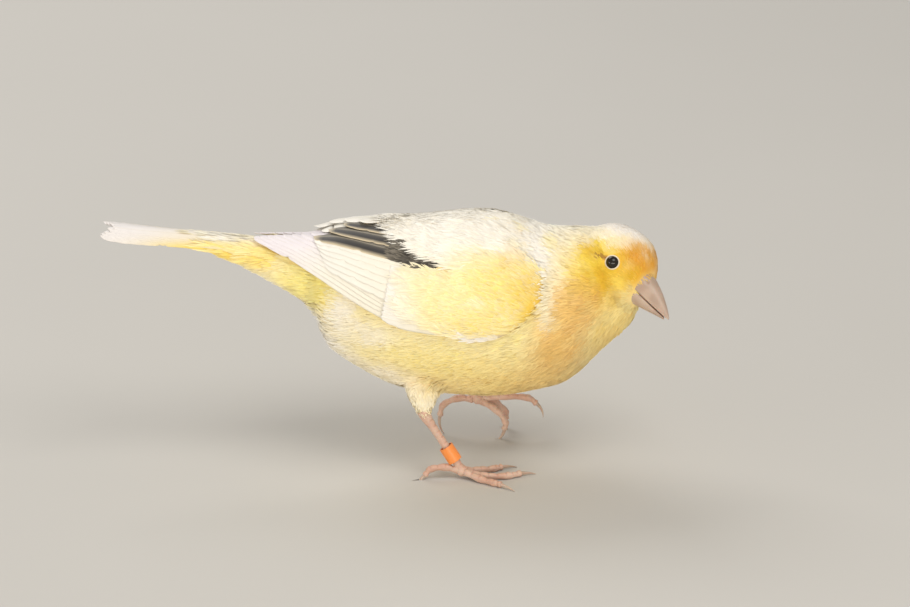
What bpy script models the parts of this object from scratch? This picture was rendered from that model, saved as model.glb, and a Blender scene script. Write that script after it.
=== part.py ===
"""A canary standing on both feet with its head turned to its right, life size.

+X is the way the body faces, +Y is the bird's left, +Z is up, and the floor is z = 0. The
origin is under the middle of the whole bird. Sizes are in millimetres and become metres
where a mesh is made. Every sub-part is one closed solid, GAP clear of the next.
"""
from math import cos, pi, radians, sin, sqrt

import bmesh
import bpy
from mathutils import Matrix, Vector

MM = 0.001
GAP = 0.3
RIGHT, LEFT = -1, 1

# Body, seen from the side: station x, middle height, half width, rise above and drop below the middle
TORSO_STATIONS = (
    (-14.0, 41.0, 7.6, 7.6, 9.0),
    (-12.6, 40.0, 9.0, 9.4, 12.8),
    (-9.4, 38.8, 10.8, 12.0, 14.9),
    (-3.0, 37.4, 13.0, 15.0, 17.7),
    (3.4, 36.2, 14.9, 16.8, 19.3),
    (9.8, 35.7, 16.0, 18.0, 19.8),
    (16.2, 35.5, 16.3, 19.4, 20.2),
    (22.6, 35.4, 16.4, 20.4, 20.4),
    (28.9, 35.4, 16.0, 19.5, 19.8),
    (33.0, 35.4, 15.0, 17.6, 18.9),
)
RING_SIDES = 28
# Where the torso's and the neck's rings stand along x, and the head's ahead of its middle
TORSO_RINGS = (-14.0, -13.4, -12.0, -9.4, -6.0, -2.0, 3.0, 8.0, 13.0, 18.0, 23.0, 27.0, 30.5, 33.0)
NECK_RINGS = (33.3, 35.6, 38.0, 40.5, 43.0, 45.5, 47.8, 49.8, 51.6, 53.2)
HEAD_RINGS = (-9.4, -8.6, -7.2, -5.4, -3.4, -1.2, 1.0, 2.8, 4.4, 5.8, 7.0, 8.0, 8.8)

# Head: where its middle is, and which way it looks
HEAD_CENTRE = Vector((49.6, -0.5, 44.0))
HEAD_YAW = radians(-43.6)
HEAD_PITCH = radians(-13.3)
HEAD_ROLL = radians(-22.3)
# Head sections: distance ahead of the middle, height of the section's middle, half width, rise, drop
HEAD_STATIONS = (
    (-9.4, -0.4, 3.2, 3.4, 3.2),
    (-8.0, -0.3, 5.6, 5.9, 5.6),
    (-5.4, 0.0, 7.6, 7.8, 7.6),
    (-2.5, 0.0, 8.2, 8.7, 8.2),
    (1.0, 0.0, 7.9, 8.8, 8.0),
    (4.2, 0.0, 6.9, 8.2, 7.2),
    (6.4, -0.2, 5.6, 6.9, 6.6),
    (7.9, -0.6, 4.3, 5.4, 5.6),
    (8.8, -1.2, 3.3, 3.6, 4.2),
)
# Upper breast and neck, ahead of the torso: x, middle's y, middle height, half width, rise, drop
NECK_STATIONS = (
    (33.3, 0.0, 35.4, 14.9, 17.5, 18.8),
    (38.0, 0.0, 35.8, 13.9, 16.4, 18.1),
    (42.0, -0.1, 36.8, 12.6, 15.8, 16.3),
    (46.0, 0.2, 38.0, 9.9, 13.4, 13.3),
    (49.8, -1.0, 38.2, 6.6, 9.0, 9.7),
    (53.2, -2.4, 37.2, 3.8, 4.6, 5.0),
)

NECK_TIP = Vector((54.6, -3.2, 36.4))
# How much a neighbour is grown before it cuts a piece
CUTTER_GROWTH = GAP * 1.3

# Eyes: place in the head, size, how deep the middle lies, and the lids' thickness
EYE_AHEAD = 3.0
EYE_HEIGHT = 1.5
EYE_RADIUS = 1.45
EYE_DEPTH = 0.75
LID_THICKNESS = 0.35

# Bill
BILL_BASE = 8.2
BILL_TIP = Vector((17.3, 0.0, -3.8))
BILL_ROOT_TOP = 2.4
BILL_ROOT_BOTTOM = -5.2
BILL_GAPE = -1.9
BILL_HALF_WIDTH = 3.1
NOSTRIL_RADIUS = 0.42

# Wing cradle: the middle surface of the folded wings, as x, middle height, half width, half height
CRADLE_STATIONS = (
    (-29.0, 48.3, 4.2, 3.4),
    (-20.0, 45.6, 7.4, 5.8),
    (-14.5, 42.6, 10.0, 8.8),
    (-9.4, 39.6, 12.3, 13.3),
    (0.0, 36.8, 15.4, 17.2),
    (10.0, 35.8, 17.2, 19.1),
    (20.0, 35.5, 17.9, 20.3),
    (30.0, 35.4, 17.0, 19.2),
    (36.0, 35.2, 15.2, 16.8),
)

# Tail: the line its feathers follow
TAIL_LEVEL = 49.3
TAIL_LEVEL_X = -27.0
TAIL_RISE = 0.1
TAIL_ROLL = 0.07
TAIL_TIP_X = -60.2
TAIL_NOTCH = 2.0
TAIL_PAIRS = 6
# Tail base: x, underside, top, half width
TAIL_BASE_STATIONS = (
    (-14.3, 34.4, 48.6, 6.8),
    (-18.0, 36.6, 49.7, 6.1),
    (-24.0, 40.2, 50.3, 5.4),
    (-32.0, 44.8, 50.8, 5.0),
    (-38.0, 47.8, 51.2, 4.6),
    (-42.0, 49.5, 51.5, 3.6),
)

# Legs: hip, ankle, ball of the foot, and each toe's points from the ball to its last joint
LEGS = {
    "right": {
        "hip": Vector((8.0, -8.2, 22.0)),
        "ankle": Vector((8.6, -10.2, 13.9)),
        "joint": Vector((16.6, -11.6, 1.7)),
        "toes": {
            "hind": ((16.0, -11.6, 1.7), (13.0, -11.8, 2.5), (10.0, -12.1, 2.2), (8.6, -12.4, 0.8)),
            "inner": ((17.2, -11.2, 1.5), (20.4, -9.6, 1.0), (23.6, -7.9, 0.7), (25.2, -7.1, 0.75)),
            "middle": ((17.4, -11.7, 1.5), (21.6, -12.9, 0.9), (26.4, -12.1, 0.72), (29.2, -10.8, 0.75)),
            "outer": ((17.2, -12.0, 1.5), (20.4, -14.3, 0.85), (23.4, -16.3, 0.7), (24.9, -17.4, 0.75)),
        },
    },
    "left": {
        "hip": Vector((11.0, 9.6, 24.0)),
        "ankle": Vector((11.2, 11.6, 19.0)),
        "joint": Vector((20.0, 13.2, 8.6)),
        "toes": {
            "hind": ((19.2, 13.2, 8.4), (15.8, 13.6, 8.5), (12.6, 14.0, 6.8), (11.8, 14.2, 4.2)),
            "inner": ((20.4, 12.8, 8.4), (24.0, 12.0, 6.4), (26.0, 11.6, 3.8), (25.8, 11.4, 2.0)),
            "middle": ((20.8, 13.2, 8.6), (26.0, 13.4, 9.0), (30.8, 13.6, 8.6), (32.8, 13.8, 7.2)),
            "outer": ((20.4, 13.8, 8.4), (23.6, 15.6, 7.0), (26.0, 17.0, 4.2), (26.2, 17.6, 2.2)),
        },
    },
}
BALL_RADIUS = 1.25
TOE_RADIUS = 0.78
TOE_TIP_RADIUS = 0.6
SHANK_RADIUS = 0.82
ANKLE_RADIUS = 1.15
CLAW_LENGTH = 3.4
HIND_CLAW_LENGTH = 4.6
CLAW_RADIUS = 0.42
CLAW_CURL = 1.0


def interpolate(stations, x):
    """Values of the stations at x, on a cubic that passes through each station."""
    count = len(stations)
    last = count - 2
    place = 0
    while place < last and x > stations[place + 1][0]:
        place += 1
    left = stations[place]
    right = stations[place + 1]
    before = stations[max(place - 1, 0)]
    after = stations[min(place + 2, count - 1)]
    span = right[0] - left[0]
    t = min(max((x - left[0]) / span, 0.0), 1.0)
    values = []
    for k in range(1, len(left)):
        slope_left = (right[k] - before[k]) / (right[0] - before[0]) * span
        slope_right = (after[k] - left[k]) / (after[0] - left[0]) * span
        value = (2 * t**3 - 3 * t**2 + 1) * left[k] + (t**3 - 2 * t**2 + t) * slope_left
        value += (3 * t**2 - 2 * t**3) * right[k] + (t**3 - t**2) * slope_right
        values.append(value)
    return values


def spread(start, end, count):
    """Evenly spaced values from start to end."""
    return [start + (end - start) * i / (count - 1) for i in range(count)]


def axes(yaw, pitch, roll):
    """Forward, left and up directions of a frame turned by yaw, pitch (up is positive) and roll."""
    turn = Matrix.Rotation(yaw, 3, "Z") @ Matrix.Rotation(-pitch, 3, "Y") @ Matrix.Rotation(roll, 3, "X")
    return turn.col[0].copy(), turn.col[1].copy(), turn.col[2].copy()


HEAD_FORWARD, HEAD_LEFT, HEAD_UP = axes(HEAD_YAW, HEAD_PITCH, HEAD_ROLL)


def head_point(ahead, left, up):
    """A point given in the head's own directions."""
    return HEAD_CENTRE + HEAD_FORWARD * ahead + HEAD_LEFT * left + HEAD_UP * up


def ring(centre, left, up, half_width, rise, drop, sides=RING_SIDES):
    """A closed oval of points, with its own rise above and drop below the centre."""
    points = []
    for i in range(sides):
        turn = 2 * pi * i / sides
        across = cos(turn) * half_width
        height = sin(turn) * (rise if sin(turn) > 0 else drop)
        points.append(centre + left * across + up * height)
    return points


def new_mesh(points, faces):
    """A mesh in metres from points in millimetres, with its faces turned outward."""
    mesh = bpy.data.meshes.new("piece")
    bm = bmesh.new()
    vertices = [bm.verts.new(Vector(point) * MM) for point in points]
    for face in faces:
        bm.faces.new([vertices[i] for i in face])
    bmesh.ops.triangulate(bm, faces=[f for f in bm.faces if len(f.verts) > 4])
    bmesh.ops.recalc_face_normals(bm, faces=bm.faces)
    bm.to_mesh(mesh)
    bm.free()
    return mesh


def loft(rings, start_point=None, end_point=None):
    """A closed solid through rings of equal count, with a flat or a pointed end at each side."""
    sides = len(rings[0])
    points = [point for one in rings for point in one]
    faces = []
    for r in range(len(rings) - 1):
        for i in range(sides):
            j = (i + 1) % sides
            faces.append((r * sides + i, r * sides + j, (r + 1) * sides + j, (r + 1) * sides + i))
    for first, tip in ((0, start_point), ((len(rings) - 1) * sides, end_point)):
        if tip is None:
            faces.append(tuple(first + i for i in range(sides)))
        else:
            points.append(tip)
            apex = len(points) - 1
            faces.extend((first + i, first + (i + 1) % sides, apex) for i in range(sides))
    return new_mesh(points, faces)


def tube(path, radii, sides=8, flatten=1.0, end_point=None):
    """A closed tapered tube along a path; flatten scales it along the path's upright direction."""
    rings = []
    side = Vector((0, 1, 0))
    for i, centre in enumerate(path):
        ahead = Vector(path[min(i + 1, len(path) - 1)]) - Vector(path[max(i - 1, 0)])
        ahead.normalize()
        side = side - ahead * side.dot(ahead)
        side.normalize()
        up = ahead.cross(side)
        height = radii[i] * flatten
        rings.append(ring(Vector(centre), side, up, radii[i], height, height, sides))
    return loft(rings, None, end_point)


def curve_points(controls, count):
    """Points of a smooth curve that passes through the control points."""
    stations = [(float(i), *control) for i, control in enumerate(controls)]
    return [Vector(interpolate(stations, t)) for t in spread(0.0, len(controls) - 1.0, count)]


def vane(stations):
    """A thin closed blade. Each station holds centre, across direction, normal, half width, thickness."""
    points = []
    for centre, across, normal, half_width, thickness in stations:
        for w, n in ((-1, -1), (1, -1), (1, 1), (-1, 1)):
            points.append(centre + across * (w * half_width) + normal * (n * thickness / 2))
    count = len(stations)
    faces = [(0, 1, 2, 3), tuple(4 * (count - 1) + k for k in range(4))]
    for s in range(count - 1):
        a = 4 * s
        b = a + 4
        for k in range(4):
            j = (k + 1) % 4
            faces.append((a + k, a + j, b + j, b + k))
    return new_mesh(points, faces)


def fuse(name, meshes, cutters=()):
    """One closed body from overlapping pieces, less the cutters; only its largest surface is kept."""
    pieces = bpy.data.collections.new(name + "_pieces")
    for mesh in meshes[1:]:
        pieces.objects.link(bpy.data.objects.new("piece", mesh))
    body = bpy.data.objects.new(name, meshes[0])
    bpy.context.scene.collection.objects.link(body)
    if len(meshes) > 1:
        union = body.modifiers.new("Union", "BOOLEAN")
        union.operation = "UNION"
        union.operand_type = "COLLECTION"
        union.collection = pieces
        union.solver = "EXACT"
    cuts = bpy.data.collections.new(name + "_cuts")
    for mesh in cutters:
        cuts.objects.link(bpy.data.objects.new("cutter", mesh))
    if cutters:
        cut = body.modifiers.new("Cut", "BOOLEAN")
        cut.operation = "DIFFERENCE"
        cut.operand_type = "COLLECTION"
        cut.collection = cuts
        cut.solver = "EXACT"
    bpy.context.view_layer.update()
    evaluated = body.evaluated_get(bpy.context.evaluated_depsgraph_get())
    mesh = bpy.data.meshes.new_from_object(evaluated)
    body.modifiers.clear()
    body.data = largest_surface(mesh)
    for holder in (pieces, cuts):
        for item in list(holder.objects):
            bpy.data.objects.remove(item)
        bpy.data.collections.remove(holder)
    return body


def largest_surface(mesh):
    """The mesh with only its largest connected surface."""
    bm = bmesh.new()
    bm.from_mesh(mesh)
    left = set(bm.verts)
    groups = []
    while left:
        seed = left.pop()
        group = {seed}
        edge_of_group = [seed]
        while edge_of_group:
            vertex = edge_of_group.pop()
            for edge in vertex.link_edges:
                other = edge.other_vert(vertex)
                if other in left:
                    left.remove(other)
                    group.add(other)
                    edge_of_group.append(other)
        groups.append(group)
    keep = max(groups, key=len)
    bmesh.ops.delete(bm, geom=[v for v in bm.verts if v not in keep], context="VERTS")
    bmesh.ops.triangulate(bm, faces=bm.faces)
    bm.to_mesh(mesh)
    bm.free()
    return mesh


def finish(body, material, smooth=True):
    """Gives a body its name on the mesh, its material and its shading."""
    body.data.name = body.name
    body.data.materials.clear()
    body.data.materials.append(material)
    if smooth:
        body.data.shade_smooth()
        body.data.set_sharp_from_angle(angle=radians(40))
    return body


def make_material(name, colour, roughness):
    """A plain surface colour."""
    material = bpy.data.materials.new(name)
    material.use_nodes = True
    shader = material.node_tree.nodes["Principled BSDF"]
    shader.inputs["Base Color"].default_value = (*colour, 1.0)
    shader.inputs["Roughness"].default_value = roughness
    shader.inputs["Metallic"].default_value = 0.0
    return material


def torso_mesh(grow=0.0):
    """Breast, back, belly and flanks as one loft, grown all round where it serves to cut a neighbour."""
    rings = []
    for x in TORSO_RINGS:
        middle, half_width, rise, drop = interpolate(TORSO_STATIONS, x)
        sizes = (half_width + grow, rise + grow, drop + grow)
        rings.append(ring(Vector((x, 0, middle)), Vector((0, 1, 0)), Vector((0, 0, 1)), *sizes))
    return loft(rings)


def make_torso():
    return fuse("torso", [torso_mesh()])


def make_neck():
    """Upper breast, throat and nape: an egg that the head is set into."""
    rings = []
    for x in NECK_RINGS:
        y, middle, half_width, rise, drop = interpolate(NECK_STATIONS, x)
        centre = Vector((x, y, middle))
        rings.append(ring(centre, Vector((0, 1, 0)), Vector((0, 0, 1)), half_width, rise, drop))
    cutters = [head_mesh(CUTTER_GROWTH)]
    for side in (RIGHT, LEFT):
        cutters.append(ball(eye_place(side)[0], EYE_RADIUS * 1.8))
    return fuse("neck", [loft(rings, None, NECK_TIP)], cutters)


def ball(centre, radius, segments=16, rings=10, along=None):
    """A sphere with its poles along a direction."""
    bm = bmesh.new()
    bmesh.ops.create_uvsphere(bm, u_segments=segments, v_segments=rings, radius=radius * MM)
    turn = (along or Vector((0, 0, 1))).to_track_quat("Z", "Y").to_matrix().to_4x4()
    bmesh.ops.transform(bm, matrix=Matrix.Translation(centre * MM) @ turn, verts=bm.verts)
    mesh = bpy.data.meshes.new("ball")
    bm.to_mesh(mesh)
    bm.free()
    return mesh


def hoop(centre, axis, major, minor, segments=20, sides=6):
    """A closed hoop of round wire about an axis."""
    turn = axis.to_track_quat("Z", "Y").to_matrix()
    points = []
    for i in range(segments):
        a = 2 * pi * i / segments
        out = turn @ Vector((cos(a), sin(a), 0))
        for k in range(sides):
            b = 2 * pi * k / sides
            points.append(centre + out * (major + minor * cos(b)) + turn.col[2] * (minor * sin(b)))
    faces = []
    for i in range(segments):
        for k in range(sides):
            j = (i + 1) % segments
            m = (k + 1) % sides
            faces.append((i * sides + k, j * sides + k, j * sides + m, i * sides + m))
    return new_mesh(points, faces)


def head_surface(ahead, up, side):
    """Half width of the head at a place, as a point on its surface and the outward direction."""
    middle, half_width, rise, drop = interpolate(HEAD_STATIONS, ahead)
    reach = rise if up > middle else drop
    across = half_width * sqrt(max(1 - ((up - middle) / reach) ** 2, 0.0))
    outward = HEAD_LEFT * (side * across / half_width**2) + HEAD_UP * ((up - middle) / reach**2)
    outward += HEAD_FORWARD * (0.35 / half_width)
    return head_point(ahead, side * across, up), outward.normalized()


def eye_place(side):
    """Centre of the eye and the way it looks."""
    surface, outward = head_surface(EYE_AHEAD, EYE_HEIGHT, side)
    return surface - outward * EYE_DEPTH, outward


def head_mesh(grow=0.0):
    """Skull and cheeks as one loft, grown all round where it serves to cut the neck."""
    rings = []
    for ahead in HEAD_RINGS:
        middle, half_width, rise, drop = interpolate(HEAD_STATIONS, ahead)
        centre = head_point(ahead, 0, middle)
        if ahead == HEAD_STATIONS[0][0]:
            centre -= HEAD_FORWARD * grow
        rings.append(ring(centre, HEAD_LEFT, HEAD_UP, half_width + grow, rise + grow, drop + grow))
    return loft(rings)


def make_head():
    """The head with a socket and a lid ring for each eye, and room for the bill's root."""
    pieces = [head_mesh()]
    sockets = []
    for side in (RIGHT, LEFT):
        centre, outward = eye_place(side)
        rim = centre + outward * (EYE_DEPTH * 0.95)
        pieces.append(hoop(rim, outward, EYE_RADIUS + GAP + 0.1, LID_THICKNESS))
        sockets.append(ball(centre, EYE_RADIUS + GAP, along=outward))
    sockets.append(bill_root_cutter())
    return fuse("head", pieces, sockets)


def make_eye(name, side):
    centre, outward = eye_place(side)
    return fuse(name, [ball(centre, EYE_RADIUS, along=outward)])


def bill_section(t, upper):
    """Top, bottom and half width of one half of the bill, from its root (0) to its tip (1)."""
    culmen = BILL_ROOT_TOP + (BILL_TIP.z - BILL_ROOT_TOP) * (0.62 * t + 0.38 * t**2.4)
    line = BILL_GAPE + (BILL_TIP.z - 0.5 - BILL_GAPE) * t
    keel = BILL_ROOT_BOTTOM + (BILL_TIP.z - 0.9 - BILL_ROOT_BOTTOM) * t
    half_width = BILL_HALF_WIDTH * (1 - t) ** 0.72
    if upper:
        return culmen, line + GAP / 2, half_width
    return line - GAP / 2, keel, half_width * 0.93


def make_bill_half(name, upper):
    """A cone with a flat face along the mouth line and a round back or keel."""
    reach = BILL_TIP.x - BILL_BASE
    length = reach if upper else reach - 1.1
    rings = []
    for t in (0.0, 0.14, 0.3, 0.47, 0.64, 0.8, 0.92):
        top, bottom, half_width = bill_section(t, upper)
        ahead = BILL_BASE + GAP + (length - GAP) * t
        points = []
        for i in range(9):
            turn = pi * i / 8
            across = cos(turn) * half_width
            lift = sin(turn) ** 0.9 * (top - bottom)
            points.append(head_point(ahead, across, bottom + lift if upper else top - lift))
        rings.append(points)
    tip = BILL_TIP if upper else Vector((BILL_BASE + length, 0, bill_section(1.0, False)[0] - 0.1))
    meshes = [loft(rings, None, head_point(tip.x, 0, tip.z))]
    nostrils = []
    if upper:
        for side in (RIGHT, LEFT):
            nostrils.append(ball(head_point(BILL_BASE + 1.37, side * 1.83, 0.93), NOSTRIL_RADIUS, 8, 6))
    return fuse(name, meshes, nostrils)


def bill_root_cutter():
    """The room that the bill's root takes out of the head, a gap wider than the bill."""
    rings = []
    for ahead in (BILL_BASE, BILL_BASE + 4.0):
        centre = head_point(ahead, 0, (BILL_ROOT_TOP + BILL_ROOT_BOTTOM) / 2)
        reach = (BILL_ROOT_TOP - BILL_ROOT_BOTTOM) / 2 + 1.2
        rings.append(ring(centre, HEAD_LEFT, HEAD_UP, BILL_HALF_WIDTH + 1.2, reach, reach, 16))
    return loft(rings)


def cradle(x, turn, lift, side):
    """A point above the folded wing's middle surface; turn 0 is level with the middle, 90 on the back."""
    middle, half_width, half_height = interpolate(CRADLE_STATIONS, x)
    outward = Vector((0, side * cos(turn) * half_height, sin(turn) * half_width)).normalized()
    return Vector((x, side * half_width * cos(turn), middle + half_height * sin(turn))) + outward * lift


def cradle_frame(x, turn, lift, side, ahead_x, ahead_turn):
    """The point, the direction along a feather, the direction across it (upward) and the normal."""
    step = 0.02
    centre = cradle(x, turn, lift, side)
    along = cradle(x + ahead_x * step, turn + ahead_turn * step, lift, side) - centre
    along.normalize()
    middle, half_width, half_height = interpolate(CRADLE_STATIONS, x)
    normal = Vector((0, side * cos(turn) * half_height, sin(turn) * half_width)).normalized()
    normal = (normal - along * normal.dot(along)).normalized()
    across = normal.cross(along) * side
    if across.z < 0:
        across = -across
    return centre, across, normal


def wing_vane(side, root, tip, half_width, lifts, tilt, bow=0.0, thickness=0.55, stations=5, point=0.7):
    """A feather of the folded wing. root and tip are (x, turn in degrees); lifts are at root and tip."""
    rows = []
    span_x = tip[0] - root[0]
    span_turn = radians(tip[1] - root[1])
    for s in spread(0.0, 1.0, stations):
        x = root[0] + span_x * s
        turn = radians(root[1]) + span_turn * s + radians(bow) * sin(pi * s)
        turn_rate = span_turn + radians(bow) * pi * cos(pi * s)
        lift = lifts[0] + (lifts[1] - lifts[0]) * s
        centre, across, normal = cradle_frame(x, turn, lift, side, span_x, turn_rate)
        leaning = (across - normal * tilt).normalized()
        rise = (normal + across * tilt).normalized()
        taper = 1.0 if s < point else sqrt(max(1 - ((s - point) / (1.0 - point)) ** 2, 0.0))
        rows.append((centre, leaning, rise, max(half_width * taper, 0.3), thickness * (1 - 0.35 * s)))
    return vane(rows)


def wing_low_edge(x):
    """Turn in degrees of the folded wing's lower edge."""
    edge = ((-20.0, 17.0), (-9.4, 15.0), (0.0, 10.0), (10.0, 0.0), (19.0, -7.0), (25.0, -5.0),
            (30.0, 6.0), (34.5, 26.0))
    return interpolate(edge, x)[0]


def wing_high_edge(x):
    """Turn in degrees of the wing core's upper edge, under the scapular feathers."""
    edge = ((-2.0, 80.0), (10.0, 76.0), (17.0, 64.0), (22.0, 54.0), (28.0, 46.0), (34.5, 36.0))
    return interpolate(edge, x)[0]


def wing_core(side):
    """The arm and hand under the coverts: a thin shell along the flank, rounded at the wrist."""
    columns = spread(-2.0, 31.5, 10)
    rows = 6
    points = []
    for lift in (-0.9, -0.2):
        for x in columns:
            low = wing_low_edge(x) + 3.0
            high = wing_high_edge(x)
            for turn in spread(low, high, rows):
                points.append(cradle(x, radians(turn), lift, side))
    count = len(columns) * rows
    faces = []
    for i in range(len(columns) - 1):
        for k in range(rows - 1):
            a = i * rows + k
            quad = (a, a + 1, a + rows + 1, a + rows)
            faces.append(quad)
            faces.append(tuple(count + v for v in quad))
    rim = [i * rows for i in range(len(columns))]
    rim += [(len(columns) - 1) * rows + k for k in range(1, rows)]
    rim += [i * rows + rows - 1 for i in range(len(columns) - 2, -1, -1)]
    rim += [k for k in range(rows - 2, 0, -1)]
    for i, a in enumerate(rim):
        b = rim[(i + 1) % len(rim)]
        faces.append((a, b, b + count, a + count))
    return new_mesh(points, faces)


def make_wing(name, side):
    """A folded wing: primaries, secondaries and tertials, with four tiers of coverts over them."""
    pieces = [wing_core(side)]
    primaries = 8
    for i in range(primaries):
        f = i / (primaries - 1)
        tip_x = -28.4 + 13.0 * f**1.3 if i else -25.5
        root = (7.0, 2.0 + 20.0 * f)
        tip = (tip_x, 55.0 + 17.0 * f**0.7)
        pieces.append(wing_vane(side, root, tip, 1.7, (-0.75 + 0.35 * f, -0.5 + 0.5 * f), 0.12, -9.0 + 3 * f))
    secondaries = 5
    for i in range(secondaries):
        f = i / (secondaries - 1)
        root = (11.0, 16.0 + 27.0 * f)
        tip = (-12.5 - 2.2 * f, 40.0 + 24.0 * f)
        pieces.append(wing_vane(side, root, tip, 2.0, (-0.4 + 0.2 * f, 0.15 + 0.2 * f), 0.12, -3.0))
    tertials = 3
    for i in range(tertials):
        f = i / (tertials - 1)
        root = (12.0, 46.0 + 20.0 * f)
        tip = (-15.0 + 9.0 * f, 67.0 + 13.0 * f)
        pieces.append(wing_vane(side, root, tip, 2.5 - 0.3 * f, (-0.1, 0.5 + 0.25 * f), 0.1, 0.0))
    tiers = (
        (7, 21.0, 3.0, 15.0, 0.0, 34.0, 1.9, 0.6),
        (6, 27.0, 13.5, 20.0, 2.0, 40.0, 1.9, 0.75),
        (6, 29.5, 20.0, 25.0, 6.0, 46.0, 1.8, 0.8),
        (4, 31.0, 25.5, 28.5, 20.0, 44.0, 1.7, 0.8),
    )
    for count, root_x, low_tip_x, high_tip_x, low_turn, high_turn, half_width, lift in tiers:
        for i in range(count):
            f = i / (count - 1)
            tip_x = low_tip_x + (high_tip_x - low_tip_x) * f**2 * 0.3
            turn = low_turn + (high_turn - low_turn) * f
            root_turn = max(turn - 4.0, wing_low_edge(root_x) + 6.0)
            pieces.append(wing_vane(side, (root_x, root_turn), (tip_x, turn), half_width,
                                    (-0.5, lift * min(0.4 + 2 * f, 1.0)), 0.06, 0.0, stations=4, point=0.5))
    scapulars = 6
    for i in range(scapulars):
        f = i / (scapulars - 1)
        root = (16.5 - 2.5 * f, 48.0 + 26.0 * f)
        tip = (10.5 - 11.5 * f, 45.0 + 37.0 * f)
        pieces.append(wing_vane(side, root, tip, 1.7, (-0.4, 0.9), 0.06, 0.0, stations=4, point=0.5))
    return fuse(name, pieces, [torso_mesh(CUTTER_GROWTH)])


def tail_level(x):
    """Height of the tail feathers' middle."""
    return TAIL_LEVEL + (TAIL_LEVEL_X - x) * TAIL_RISE


def make_tail():
    """The tail's root with its coverts, and twelve flight feathers that lie over one another."""
    rings = []
    for x, bottom, top, half_width in TAIL_BASE_STATIONS:
        middle = (top + bottom) / 2
        reach = (top - bottom) / 2
        rings.append(ring(Vector((x, 0, middle)), Vector((0, 1, 0)), Vector((0, 0, 1)),
                          half_width, reach, reach, 16))
    pieces = [loft(rings)]
    for i in range(TAIL_PAIRS):
        f = i / (TAIL_PAIRS - 1)
        for side in (RIGHT, LEFT):
            rows = []
            tip_x = TAIL_TIP_X + TAIL_NOTCH * (1 - f)
            for s in (0.0, 0.3, 0.6, 0.82, 0.94, 1.0):
                x = -24.0 + (tip_x + 24.0) * s
                y = side * (0.45 + (0.2 + 0.45 * s) * i + 0.35 * s)
                centre = Vector((x, y, tail_level(x) + 0.55 - 0.2 * i - 0.03 * side + TAIL_ROLL * y))
                across = Vector((0.0, 1.0, TAIL_ROLL - 0.08 * side)).normalized()
                normal = Vector((0.0, 0.08 * side - TAIL_ROLL, 1.0)).normalized()
                width = 2.35 if s < 0.9 else (1.7 if s < 1.0 else 0.5)
                rows.append((centre, across, normal, width, 0.5 - 0.12 * s))
            pieces.append(vane(rows))
    return fuse("tail", pieces)


def make_ring_band(name, centre, axis, inner, outer, length, sides=24):
    """A short open tube."""
    turn = axis.to_track_quat("Z", "Y").to_matrix()
    profile = ((inner, -0.5), (outer, -0.5), (outer, 0.5), (inner, 0.5))
    points = []
    for i in range(sides):
        a = 2 * pi * i / sides
        for radius, height in profile:
            points.append(centre + turn @ Vector((cos(a) * radius, sin(a) * radius, height * length)))
    faces = []
    for i in range(sides):
        j = (i + 1) % sides
        for k in range(4):
            m = (k + 1) % 4
            faces.append((i * 4 + k, j * 4 + k, j * 4 + m, i * 4 + m))
    return fuse(name, [new_mesh(points, faces)])


def floor_cutter():
    """A block whose top is the floor, to leave flats."""
    bm = bmesh.new()
    bmesh.ops.create_cube(bm, size=1.0)
    size = Vector((140.0, 80.0, 20.0))
    for vertex in bm.verts:
        vertex.co = Vector((vertex.co.x * size.x, vertex.co.y * size.y, (vertex.co.z - 0.5) * size.z)) * MM
    mesh = bpy.data.meshes.new("block")
    bm.to_mesh(mesh)
    bm.free()
    return mesh


def make_thigh(name, leg):
    """The feathered upper leg below the belly, an egg that tapers to the ankle."""
    hip, ankle = leg["hip"], leg["ankle"]
    axis = (ankle - hip).normalized()
    left = axis.cross(Vector((0, 1, 0))).normalized()
    up = axis.cross(left)
    length = (ankle - hip).length
    rings = []
    for t, radius in ((0.0, 3.6), (0.3, 3.5), (0.6, 2.8), (0.82, 2.0), (0.95, 1.45)):
        centre = hip + axis * (length * t)
        rings.append(ring(centre, left, up, radius * 1.15, radius, radius, 14))
    return fuse(name, [loft(rings)], [torso_mesh(CUTTER_GROWTH)])


def make_shank(name, leg):
    """The scaled lower leg, a little thicker at both joints."""
    ankle, joint = leg["ankle"], leg["joint"]
    axis = (joint - ankle).normalized()
    start = ankle + axis * 0.45
    end = joint - axis * (BALL_RADIUS + 2.5 * GAP)
    radii = (ANKLE_RADIUS, SHANK_RADIUS + 0.1, SHANK_RADIUS, SHANK_RADIUS, SHANK_RADIUS + 0.1)
    path = [start + (end - start) * t for t in (0.0, 0.18, 0.4, 0.8, 1.0)]
    return fuse(name, [tube(path, radii, 10)])


def make_foot(name, leg):
    """Four jointed toes from one ball, flat where they stand."""
    joint = leg["joint"]
    pieces = [ball(joint, BALL_RADIUS, 10, 8)]
    for key, controls in leg["toes"].items():
        path = curve_points(controls, 8)
        radii = []
        for i, t in enumerate(spread(0.0, 1.0, 8)):
            swell = 0.1 * cos(t * 6 * pi)
            radii.append(TOE_RADIUS + (TOE_TIP_RADIUS - TOE_RADIUS) * t + swell)
        pieces.append(tube(path, radii, 8))
    return fuse(name, pieces, [floor_cutter()])


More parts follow.
